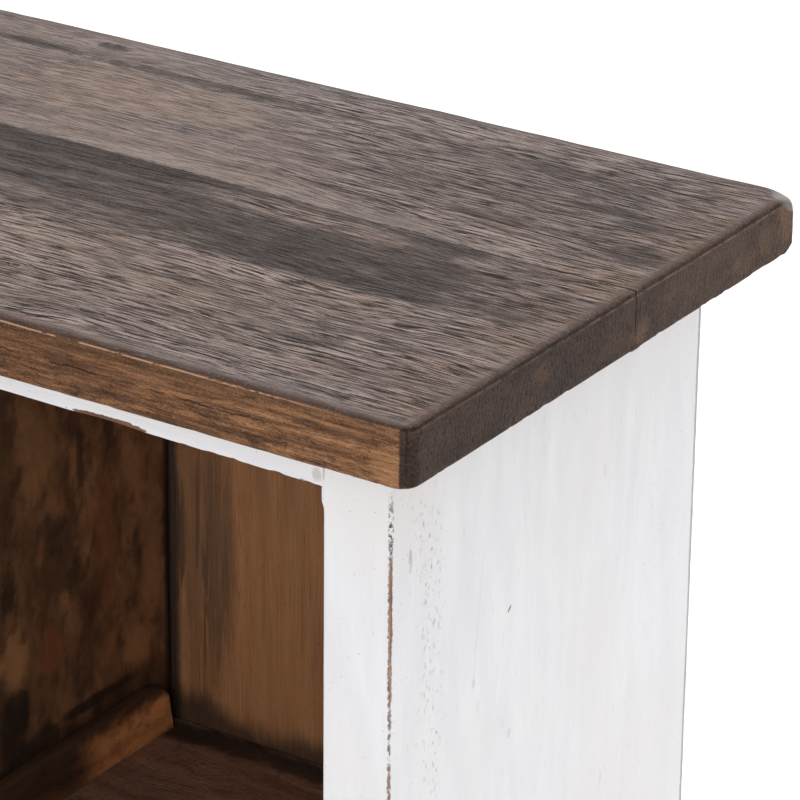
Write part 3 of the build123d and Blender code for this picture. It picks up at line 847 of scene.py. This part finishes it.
def panel_arris(n, place, x, y, z):
    """An end panel is whole but for its rubbed arch, a chip, stains and a line left by a brush."""
    grit = n.noise(place, (0.16, 0.16, 0.16), 4.0, 0.7)
    from_arch = n.minus(n.length(n.join(0.0, y, n.minus(z, ARCH_Z))), ARCH_RADIUS)
    worn = n.step(n.plus(from_arch, n.swing(grit, 9.0)), 0.4, -0.2)
    pitting = n.step(n.noise(place, (0.3, 0.3, 0.05), 3.0, 0.65), 0.62, 0.72)
    leaning = n.join(x, n.minus(y, n.times(n.minus(z, 320.0), 0.8)), z)
    chip = n.spot(leaning, (POST_OUT_X, -32, 320), (4, 1.1, 1.7), 0.6, 1.5)
    line_y = n.plus(n.times(n.minus(z, 359.0), 7.0 / 65.0), -52.0)
    drawn = n.times(n.line(y, line_y, 0.7, 0.2),
                    n.times(n.step(z, 290.0, 300.0), n.step(z, 368.0, 350.0)),
                    n.step(x, 0.0, 1.0, 0.0, 0.22))
    for middle in ((POST_OUT_X, -58.6, 297), (POST_OUT_X, -30.3, 262.5), (-POST_OUT_X, 20, 330)):
        worn = n.max(worn, n.times(n.spot(place, middle, (4, 1.6, 3), 1.2, 3.0), 0.2))
    inside = n.times(n.step(n.abs(x), POST_OUT_X - 19.2, POST_OUT_X - 19.6),
                     n.step(z, FLOOR_Z - 19, FLOOR_Z - 17))
    return worn, n.times(chip, 0.85), n.max(n.times(pitting, 0.3), drawn), inside


def rail_arris(n, place, x, y, z):
    """The rails' front arrises, with a long chip and small ones along the lower edge."""
    chip = n.spot(place, (284, -119.5, RAIL_LOW + 2.3), (25, 8, 2.3), 0.7, 3.0)
    grit = n.noise(place, (0.12, 0.3, 0.5), 4.0, 0.7)
    near_low = n.max(
        n.times(n.step(z, RAIL_LOW + 2.2, RAIL_LOW + 0.2), n.step(z, RAIL_LOW - 9, RAIL_LOW - 8)),
        n.step(z, BOTTOM_RAIL_LOW + 2.6, BOTTOM_RAIL_LOW + 0.4))
    nicks = n.times(n.step(grit, 0.6, 0.66), near_low)
    patch = n.spot(place, (385, -120, RAIL_LOW + 5), (3, 6, 4), 0.8, 3.0)
    return n.max(n.step(chip, 0.3, 0.6), nicks), n.times(nicks, 0.3), n.times(patch, 0.9), None


WIDEST_ARRIS = 2.0


def shaped_block(name, node, material, arris, wear, steps, reshape=None, trim=None):
    """A part as a skin over its node's box, less its tongues and tenons."""
    low, high = corners(node)
    if trim:
        low, high = np.array(trim[0], float), np.array(trim[1], float)
    rows = [rows_between(low[i], high[i], WIDEST_ARRIS, steps[i]) for i in range(3)]
    places, faces = block_skin(rows)
    radius = arris(places) if callable(arris) else np.full(len(places), arris)
    places, out = eased(places, low, high, radius)
    places = places - out * np.maximum(wear(places, out), 0)[:, None]
    if reshape:
        places = reshape(places)
    finish_piece(name, node, places, faces, material)


def raised(places, lift, low, high):
    """The lower edge lifted, with the lift easing out towards the top."""
    moved = places.copy()
    moved[:, 2] += lift * (high[2] - places[:, 2]) / (high[2] - low[2])
    return moved


def post(node, material):
    low, high = corners(node)
    side = np.sign(low[0] + high[0])
    end = np.sign(low[1] + high[1])

    def arris(places):
        x, y, z = np.abs(places).T
        outer = (x > POST_OUT_X - 8) & (y > POST_OUT_Y - 8)
        inner_front = (x < POST_IN_X + 8) & (y > POST_OUT_Y - 8)
        radius = np.where(outer, 1.5, np.where(inner_front, 0.8, LEAST_ARRIS))
        foot = 1 - ease(z, 2, 9)
        return radius * (1 - foot) + WIDEST_ARRIS * foot

    def wear(places, out):
        x, y, z = places.T
        away = (POST_OUT_X - np.abs(x)) + (POST_OUT_Y - np.abs(y))
        worn = (1 - ease(away, 1, 4)) * (1 - ease(z, 374, 390)) * np.where(y < 0, 1, 0.3)
        seed = 50 + int(side) + 3 * int(end)
        depth = 0.35 + 0.3 * rough(z / 8, z * 0, seed)
        skin = 0.1 + 0.1 * rough(z / 40, (x + y) / 6, seed + 5)
        return worn * depth + skin * ease(np.abs(y) - POST_IN_Y, 0, 6)

    def corner_filler(places):
        """Paint and filler round off the opening's upper corners under the rail."""
        x, y, z = places.T
        bulge = ease(z, 390, 394) * (1 - ease(z, RAIL_LOW + 1, RAIL_LOW + 3))
        at_inner = (1 - ease(np.abs(x) - POST_IN_X, 0.0, 2.0)) * ease(np.abs(y), 100, 104)
        moved = places.copy()
        moved[:, 0] = x - side * 1.2 * bulge * at_inner
        return moved

    shaped_block(f"worn_{node}", node, material, arris, wear, (3, 3, 2.6),
                 corner_filler if end < 0 else None)


def end_panel(node, material):
    low, high = corners(node)
    side = np.sign(low[0])
    inner, outer = sorted((side * (POST_OUT_X - PANEL_THICK), side * POST_OUT_X))
    trim = ((inner, -POST_IN_Y, low[2]), (outer, POST_IN_Y, high[2]))

    def arris(places):
        return np.where(places[:, 2] < low[2] + 6, 1.5, LEAST_ARRIS)

    def wear(places, out):
        y, z = places[:, 1:].T
        return (0.12 + 0.12 * rough(z / 60, y / 9, 61 + int(side))) * ease(
            POST_IN_Y - np.abs(y), 0, 6)

    def arch(places):
        y = places[:, 1]
        lift = np.sqrt(np.maximum(ARCH_RADIUS**2 - y**2, 0)) - (ARCH_RADIUS - ARCH_RISE)
        return raised(places, np.where(np.abs(y) < ARCH_HALF, lift, 0), low, high)

    shaped_block(f"painted_{node}", node, material, arris, wear, (4, 2, 4), arch, trim)


def arched_rail(node, material):
    low, high = corners(node)
    trim = ((-POST_IN_X, low[1], low[2]), (POST_IN_X, high[1], high[2]))

    def wear(places, out):
        x, y, z = places.T
        low_front = (1 - ease(z - low[2], 0, 2.5)) * (1 - ease(y - low[1], 0, 4))
        ragged = 0.5 * ease(rough(x / 5, z * 0, 71), -0.1, 0.5) * ease(x, 300, 315)
        chip = 0.5 * hollow(x, z, (284, low[2]), (20, 2.4))
        return 0.1 + 0.08 * rough(x / 40, z / 5, 72) + low_front * (ragged + 0.15) + chip * low_front

    def arch(places):
        return raised(places, RAIL_RISE * (1 - (places[:, 0] / POST_IN_X) ** 2), low, high)

    shaped_block(f"painted_{node}", node, material, 0.7, wear, (2.4, 2.5, 1.6), arch, trim)


def plain_block(name, node, material, steps, trim_x=None):
    """A straight part with lightly knocked arrises."""
    low, high = corners(node)
    if trim_x:
        low[0], high[0] = -trim_x, trim_x

    def wear(places, out):
        x, z = places[:, 0], places[:, 2]
        near = 0.25 * (1 + rough((x + z) / 15, (x - z) / 15, 81))
        return 0.08 + near * (1 - np.max(np.abs(out), axis=1)) * 3

    shaped_block(name, node, material, 0.8, wear, steps, None, (low, high))


# How much a foot bead's skin is shorter at the back than its node.
BEAD_CUT_BACK = 6.0


def foot_bead(node, material):
    """A hand-planed strip with a full, uneven round along its crown and at its ends."""
    low, high = corners(node)
    high[1] -= BEAD_CUT_BACK
    wall = min(low[0], high[0], key=lambda x: abs(abs(x) - PARTITION_X))

    def arris(places):
        x, z = places[:, 0], places[:, 2]
        crown = ease(z, low[2] + 4, high[2] - 4) * ease(np.abs(x - wall), 0.5, 4)
        return 0.3 + 3.0 * crown

    def wear(places, out):
        y, z = places[:, 1:].T
        lumps = 0.7 * (1 + rough(y / 26, z / 14, 91)) * np.abs(out[:, 0])
        crown = 0.5 * (1 + rough(y / 19, z * 0, 93)) * np.maximum(out[:, 2], 0)
        return 0.15 + (lumps + crown) * ease(z, low[2], low[2] + 4)

    def worn_ends(places):
        """Both ends are rubbed down in a quarter round."""
        y, z = places[:, 1:].T
        into_end = np.clip(1 - np.minimum(y - low[1], high[1] - y) / 16, 0, 1)
        fall = 15 * (1 - np.sqrt(1 - 0.96 * into_end**2))
        moved = places.copy()
        moved[:, 2] = z - fall * (z - low[2]) / (high[2] - low[2])
        return moved

    shaped_block(f"planed_{node}", node, material, arris, wear, (2, 2, 2), worn_ends, (low, high))


posts_paint = white_paint("white_paint_posts", True, post_arris, 0.35, srgb(126, 90, 70),
                          srgb(182, 142, 112))
panels_paint = white_paint("white_paint_end_panels", True, panel_arris, 0.12, srgb(140, 104, 82),
                           srgb(190, 150, 120))
rails_paint = white_paint("white_paint_rails", False, rail_arris, 0.3, srgb(82, 53, 37),
                          srgb(128, 88, 61))

for depth_name in ("front", "back"):
    for side_name in ("left", "right"):
        post(f"post_{depth_name}_{side_name}", posts_paint)
end_panel("end_panel_left", panels_paint)
end_panel("end_panel_right", panels_paint)
arched_rail("front_top_rail", rails_paint)

# ---- Inside: stained partitions, backs, floor and foot beads ----

PARTITION_X = (corners("partition_right")[0][0] + corners("partition_right")[1][0]) / 2
FLOOR_BACK = corners("floor_back_board")[1][1]
BACK_Y = corners("back_board_1")[0][1]

STAIN_TAN = srgb(172, 124, 80)
STAIN_BROWN = srgb(126, 74, 43)
STAIN_AND_SHADE_BLACK = srgb(24, 16, 13)

# The partitions' faces toward the ends and toward the middle.
END_FACE = 146.7
MID_FACE = 126.7
# Middle in X, Y and Z, reach in Y and Z, strength and shade of each mark on the partitions.
# The long thin black mark just above the foot bead is painted shade.
PARTITION_MARKS = (
    (END_FACE, 92, 225, 12, 50, 0.45, STAIN_TAN), (END_FACE, 5, 306, 24, 34, 0.35, STAIN_TAN),
    (END_FACE, -14, 206, 12, 22, 0.6, STAIN_TAN), (END_FACE, 13, 202, 12, 16, 0.8, STAIN_BROWN),
    (END_FACE, 80, 178, 16, 12, 0.5, STAIN_TAN), (END_FACE, 56, 240, 9, 60, 0.35, STAIN_BROWN),
    (END_FACE, 20, 245, 22, 26, 0.55, STAIN_AND_SHADE_BLACK), (END_FACE, 32, 232, 8, 16, 0.6, STAIN_AND_SHADE_BLACK),
    (END_FACE, 14, 264, 14, 8, 0.5, STAIN_AND_SHADE_BLACK), (END_FACE, -16, 245, 8, 18, 0.8, STAIN_AND_SHADE_BLACK),
    (END_FACE, -15, 178, 14, 24, 0.9, STAIN_AND_SHADE_BLACK), (END_FACE, 4, 160, 26, 9, 0.7, STAIN_AND_SHADE_BLACK),
    (END_FACE, 38, 291, 5, 22, 0.75, STAIN_AND_SHADE_BLACK), (END_FACE, 60, 294, 5, 20, 0.75, STAIN_AND_SHADE_BLACK),
    (END_FACE, 46, 164, 46, 4.5, 0.85, STAIN_AND_SHADE_BLACK), (-END_FACE, 20, 260, 12, 28, 0.8, STAIN_AND_SHADE_BLACK),
    (-END_FACE, 60, 190, 18, 20, 0.5, STAIN_TAN), (MID_FACE, -10, 300, 12, 30, 0.8, STAIN_AND_SHADE_BLACK),
    (-MID_FACE, 40, 220, 12, 28, 0.8, STAIN_AND_SHADE_BLACK),
)
BACK_MARK_DEPTH = 20
# Middle and reach in X and Z, strength and shade of each mark on the back.
BACK_MARKS = (
    (163, 270, 22, 150, 0.4, srgb(84, 62, 48)), (174, 220, 13, 66, 0.5, srgb(78, 60, 46)),
    (162, 250, 2.2, 34, 0.5, srgb(40, 28, 24)), (152, 225, 4, 30, 0.6, srgb(40, 28, 22)),
    (166, 205, 2.4, 40, 0.4, srgb(50, 36, 28)), (214, 262, 16, 60, 0.3, srgb(180, 128, 84)),
    (200, 158, 34, 16, 0.4, srgb(172, 120, 78)), (-60, 240, 12, 80, 0.65, srgb(74, 56, 43)),
    (-240, 300, 14, 70, 0.65, srgb(74, 56, 43)), (60, 320, 10, 50, 0.6, srgb(60, 42, 31)),
)


def dark_partition():
    """Deep brown board with swirling upright figure, blackened low at the front."""
    material, n, surface = new_material("dark_partition")
    place = n.place()
    front_to_back = n.split(place)[1]
    curled = n.curled(place, 52.0, 30.0)
    curled_x, curled_y, curled_z = n.split(curled)
    upright = n.join(curled_z, curled_y, curled_x)
    rings = n.group("figure", Place=upright, Length=150.0, Width=30.0, Rings=4.0)
    streaks = n.grain(upright, 50.0, 5.0, 5.0)
    clouds = n.step(n.noise(curled, (0.02, 0.03, 0.014), 4.0, 0.6), 0.36, 0.64)
    mottle = n.noise(place, (0.1, 0.12, 0.08), 6.0, 0.7)
    colour = n.mix(clouds, srgb(74, 48, 33), srgb(156, 110, 74))
    colour = n.tint(colour, srgb(48, 30, 19), n.step(rings, 0.5, 1.0), 0.22)
    colour = n.tint(colour, srgb(46, 28, 19), n.step(curled_y, 60.0, -20.0, 0.0, 0.5))
    colour = n.tint(colour, srgb(128, 90, 56), streaks, 0.2)
    colour = n.tint(colour, srgb(38, 24, 17), n.step(mottle, 0.52, 0.34, 0.0, 0.6))
    colour = n.tint(colour, srgb(150, 104, 66), n.step(mottle, 0.52, 0.7, 0.0, 0.35))
    rows = [((x, y, z), (MARK_DEPTH, reach_y, reach_z), strength, shade)
            for x, y, z, reach_y, reach_z, strength, shade in PARTITION_MARKS]
    colour = n.marks(colour, place, rows, 1.6, 11.0)
    # Painted shade and dirt just above the foot bead, heavier toward the front.
    dirt_and_shade_above_bead = n.times(n.step(curled_z, FLOOR_Z + 42, FLOOR_Z + 30),
                         n.step(front_to_back, 60.0, 90.0, 1.0, 0.5))
    colour = n.tint(colour, STAIN_AND_SHADE_BLACK, dirt_and_shade_above_bead, 0.75)
    # Painted shadow along the back edge, in the gap by the back boards.
    colour = n.tint(colour, srgb(32, 22, 18), n.step(front_to_back, 99.5, 102.5, 0.0, 0.9))
    dress(n, surface, colour, n.blend(streaks, 0.5, 0.62), mottle, depth=0.3)
    return material


def orange_back_boards():
    """Warm brown upright boards, blotched, streaked and painted black with shade at the foot and
    beside the partitions.
    """
    material, n, surface = new_material("orange_back_boards")
    place = n.place()
    x, y, z = n.split(place)
    upright = n.join(z, x, y)
    streaks = n.grain(upright, 110.0, 9.0, 3.0)
    fine = n.grain(upright, 30.0, 1.2, 2.0)
    flecks = n.group("pores", Place=upright, Length=4.0, Width=1.2, Share=0.3)
    curled = n.curled(place, 30.0, 12.0)
    clouds = n.step(n.noise(curled, (0.035, 0.035, 0.02), 4.0, 0.6), 0.38, 0.62)

    inner = n.mix(streaks, srgb(140, 96, 61), srgb(180, 128, 84))
    inner = n.tint(inner, srgb(172, 116, 73), clouds, 0.6)
    inner = n.tint(inner, srgb(80, 52, 34), n.step(fine, 0.4, 0.1, 0.0, 0.14))
    inner = n.tint(inner, srgb(60, 38, 26), flecks, 0.28)
    # Marks end in upright streaks, since the place is pushed up and down from streak to streak.
    push = n.swing(n.grain(upright, 60.0, 3.0, 4.0), 40.0)
    rows = [((x_middle, BACK_Y, z_middle), (reach_x, BACK_MARK_DEPTH, reach_z), strength, shade)
            for x_middle, z_middle, reach_x, reach_z, strength, shade in BACK_MARKS]
    inner = n.marks(inner, n.join(x, y, n.plus(z, push)), rows, 1.3, 12.0)
    # Painted shade at the foot, reaching higher beside the partitions, and a painted shadow in the
    # gaps behind the partitions' edges.
    from_partition = n.abs(n.minus(n.abs(x), PARTITION_X))
    foot = n.minus(z, n.times(n.noise(place, (0.04, 0, 0.02), 3.0), 30.0))
    foot = n.minus(foot, n.step(from_partition, 60.0, 10.0, 0.0, 9.0))
    inner = n.tint(inner, srgb(36, 26, 22), n.step(foot, FLOOR_Z + 1, FLOOR_Z - 14, 0.0, 0.85))
    ragged = n.minus(from_partition, n.times(n.noise(place, (0.05, 0, 0.06), 5.0, 0.7), 6.0))
    inner = n.tint(inner, srgb(54, 37, 30), n.step(ragged, 13.5, 8.5, 0.0, 0.95))

    # The outside of the back is plainer and duller.
    outer = n.mix(streaks, srgb(112, 80, 56), srgb(142, 106, 76))
    outer = n.tint(outer, srgb(80, 56, 40), n.step(fine, 0.4, 0.1, 0.0, 0.4))
    outer = n.tint(outer, srgb(126, 98, 76), clouds, 0.4)
    outer = n.tint(outer, srgb(60, 42, 32), flecks, 0.4)
    colour = n.mix(n.step(y, BACK_Y + 2.0, BACK_Y + 4.0), inner, outer)
    dress(n, surface, colour, n.blend(streaks, 0.5, 0.64), fine, depth=0.15)
    return material


def dark_floor():
    """Dark boards, dusty and scratched by buckets, black where they meet the back with a dark gap and
    painted shade.
    """
    material, n, surface = new_material("dark_floor")
    place = n.place()
    curled = n.curled(place, 40.0, 18.0)
    streaks = n.grain(curled, 60.0, 12.0, 5.0)
    fine = n.grain(curled, 24.0, 1.2, 2.0)
    crumbs = n.noise(place, (0.35, 0.35, 0.35), 5.0, 0.75)
    dust = n.step(n.noise(place, (0.02, 0.03, 0.03), 5.0, 0.7), 0.4, 0.7)
    colour = n.mix(streaks, srgb(98, 70, 56), srgb(146, 108, 88))
    colour = n.tint(colour, srgb(42, 29, 23), n.step(fine, 0.5, 0.1, 0.0, 0.2))
    colour = n.tint(colour, srgb(120, 90, 72), dust, 0.4)
    colour = n.tint(colour, srgb(48, 33, 27), n.step(crumbs, 0.48, 0.34, 0.0, 0.6))
    colour = n.tint(colour, srgb(168, 132, 108), n.step(crumbs, 0.6, 0.72, 0.0, 0.5))
    # Painted shade in the corner along the dark gap where the floor meets the back.
    gap_and_shade_reach = n.times(n.noise(place, (0.06, 0.06, 0), 4.0, 0.65), 16.0)
    from_back = n.minus(n.abs(n.minus(n.split(place)[1], FLOOR_BACK)), gap_and_shade_reach)
    colour = n.tint(colour, srgb(20, 14, 12), n.step(from_back, 4.0, -4.0), 0.85)
    dress(n, surface, colour, n.blend(dust, 0.48, 0.75), fine, depth=0.15)
    return material


def foot_bead_stain():
    """Orange-brown strip, darkened with painted shade and dirt along its crown and foot and toward
    the front.
    """
    material, n, surface = new_material("foot_bead_stain")
    place = n.place()
    y, z = n.split(place)[1:]
    curled_x, curled_y, curled_z = n.split(n.curled(place, 26.0, 10.0))
    streaks = n.grain(n.join(curled_y, curled_z, curled_x), 60.0, 5.0, 3.0)
    blotches = n.noise(place, (0.14, 0.09, 0.14), 5.0, 0.7)
    colour = n.mix(streaks, srgb(184, 121, 73), srgb(220, 151, 96))
    colour = n.tint(colour, srgb(96, 62, 40), n.step(blotches, 0.54, 0.36, 0.0, 0.5))
    # Painted shade and dirt where the bead meets the partition and the floor, and toward the front.
    dirt_and_shade_wobble = n.times(n.noise(place, (0.05, 0.05, 0.05), 5.0, 0.65), 16.0)
    crown = n.step(n.plus(z, dirt_and_shade_wobble), FLOOR_Z + 23, FLOOR_Z + 33)
    toe = n.times(n.step(n.plus(z, dirt_and_shade_wobble), FLOOR_Z + 13, FLOOR_Z + 7), 0.6)
    # The painted shade and dirt begin higher up toward the front.
    front = n.times(n.step(n.minus(y, dirt_and_shade_wobble), 44.0, 8.0),
                    n.step(n.plus(z, n.times(y, 0.25)), FLOOR_Z, FLOOR_Z + 10, 0.8, 1.0))
    colour = n.tint(colour, srgb(36, 24, 18), n.max(crown, toe, front), 0.95)
    dress(n, surface, colour, n.blend(streaks, 0.45, 0.6), streaks, depth=0.15)
    return material


def bare_wood():
    """Unfinished pine for the hidden bearers, cleats and dowels."""
    material, n, surface = new_material("bare_wood")
    x, y, z = n.split(n.place())
    along = n.join(y, x, z)
    streaks = n.grain(along, 90.0, 4.0, 3.0)
    rings = n.group("figure", Place=along, Length=140.0, Width=12.0, Rings=4.0)
    colour = n.mix(streaks, srgb(168, 132, 94), srgb(196, 162, 120))
    colour = n.tint(colour, srgb(146, 106, 70), rings, 0.3)
    dress(n, surface, colour, n.blend(streaks, 0.62, 0.75), streaks, depth=0.15)
    return material


def dull_steel():
    """Dulled steel for the screws and nails."""
    material, n, surface = new_material("dull_steel")
    tarnish = n.noise(n.place(), (0.5, 0.5, 0.5), 4.0)
    colour = n.mix(n.step(tarnish, 0.4, 0.7), srgb(142, 140, 138), srgb(98, 88, 80))
    surface.inputs["Metallic"].default_value = 0.9
    dress(n, surface, colour, n.blend(tarnish, 0.35, 0.6), tarnish, depth=0.05)
    return material


def coat(material, *names):
    """Puts a material on frame nodes whose own shape is right."""
    for name in names:
        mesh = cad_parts[name].data
        mesh.materials.clear()
        mesh.materials.append(material)


coat(dark_partition(), "partition_left", "partition_right")
back_stain = orange_back_boards()
coat(back_stain, *(f"back_board_{number}" for number in range(1, 7)))
floor_stain = dark_floor()
coat(floor_stain, "floor_front_board", "floor_back_board")
coat(bare_wood(), "bearer_left", "bearer_right", "floor_cleat_left", "floor_cleat_right",
     "top_cleat_left", "top_cleat_right", "top_dowels")
coat(dull_steel(), "top_screws", "cleat_screws", "partition_screws", "floor_nails", "back_nails")

bead_stain = foot_bead_stain()
for side_name in ("left", "right"):
    for face_name in ("left", "right"):
        foot_bead(f"foot_bead_{side_name}_{face_name}", bead_stain)
    plain_block(f"painted_mullion_{side_name}", f"mullion_{side_name}", posts_paint, (3, 3, 3))
plain_block("painted_front_bottom_rail", "front_bottom_rail", rails_paint, (4, 3, 3), POST_IN_X)
for height_name, stain in (("bottom", floor_stain), ("top", back_stain)):
    plain_block(f"stained_back_{height_name}_rail", f"back_{height_name}_rail", stain, (6, 4, 4),
                POST_IN_X)

# ---- Camera, light and floor ----

WORLD_LIGHT = 0.66
FRONT_POWER = 18
OVERHEAD_POWER = 58


def camera():
    """A long lens at the bench's front right corner, looking down and to the left."""
    right = (0.83477, 0.55051, 0.00918)
    up = (-0.22880, 0.33168, 0.91522)
    forward = (-0.50080, 0.76611, -0.40284)
    data = bpy.data.cameras.new("camera")
    data.lens = 192.496
    data.sensor_width = 36
    data.clip_start, data.clip_end = 0.1, 60
    eye = new_object("camera", data)
    turn = Matrix((right, up, [-value for value in forward])).transposed().to_4x4()
    eye.matrix_world = Matrix.Translation((1.2345, -1.3611, 1.0981)) @ turn
    bpy.context.scene.camera = eye


def softbox(name, place, aim, size, power):
    """A large square lamp at a place, turned to face what it lights."""
    data = bpy.data.lights.new(name, "AREA")
    data.shape = "SQUARE"
    data.size = size
    data.energy = power
    away = Vector(place) - Vector(aim)
    turn = away.to_track_quat("Z", "Y").to_matrix().to_4x4()
    new_object(name, data).matrix_world = Matrix.Translation(place) @ turn


def seen_directly(n):
    """1 where the camera or a mirror image sees a surface, and 0 where it only lights others."""
    camera_ray = n.add("LightPath", {}, output="Is Camera Ray")
    return n.max(camera_ray, camera_ray.node.outputs["Is Glossy Ray"])


def studio():
    """A white floor and surround, one softbox in front and one overhead."""
    world = bpy.data.worlds.new("studio")
    bpy.context.scene.world = world
    world.use_nodes = True
    n = Nodes(world.node_tree)
    background = world.node_tree.nodes["Background"]
    background.inputs["Color"].default_value = (1, 1, 1, 1)
    n.feed(n.blend(seen_directly(n), WORLD_LIGHT, 1.0), background.inputs["Strength"])

    mesh = bpy.data.meshes.new("floor")
    half = 12.0
    mesh.from_pydata([(-half, -half, 0), (half, -half, 0), (half, half, 0), (-half, half, 0)],
                     [], [(0, 1, 2, 3)])
    new_object("floor", mesh)
    material, n, surface = new_material("studio_floor")
    surface.inputs["Base Color"].default_value = (0.93, 0.93, 0.93, 1)
    surface.inputs["Roughness"].default_value = 0.9
    surface.inputs["Specular IOR Level"].default_value = 0.0
    surface.inputs["Emission Color"].default_value = (1, 1, 1, 1)
    away = n.step(n.length(n.place()), 1100.0, 3500.0, 0.0, 0.45)
    n.feed(n.times(away, seen_directly(n)), surface.inputs["Emission Strength"])
    mesh.materials.append(material)

    softbox("front_softbox", (1.2, -2.8, 1.33), (0.2, 0, 0.3), 1.8, FRONT_POWER)
    softbox("overhead_softbox", (0.1, 0.83, 2.6), (0.1, 0.1, 0.2), 2.2, OVERHEAD_POWER)


camera()
studio()

scene = bpy.context.scene
scene.view_settings.view_transform = "Standard"
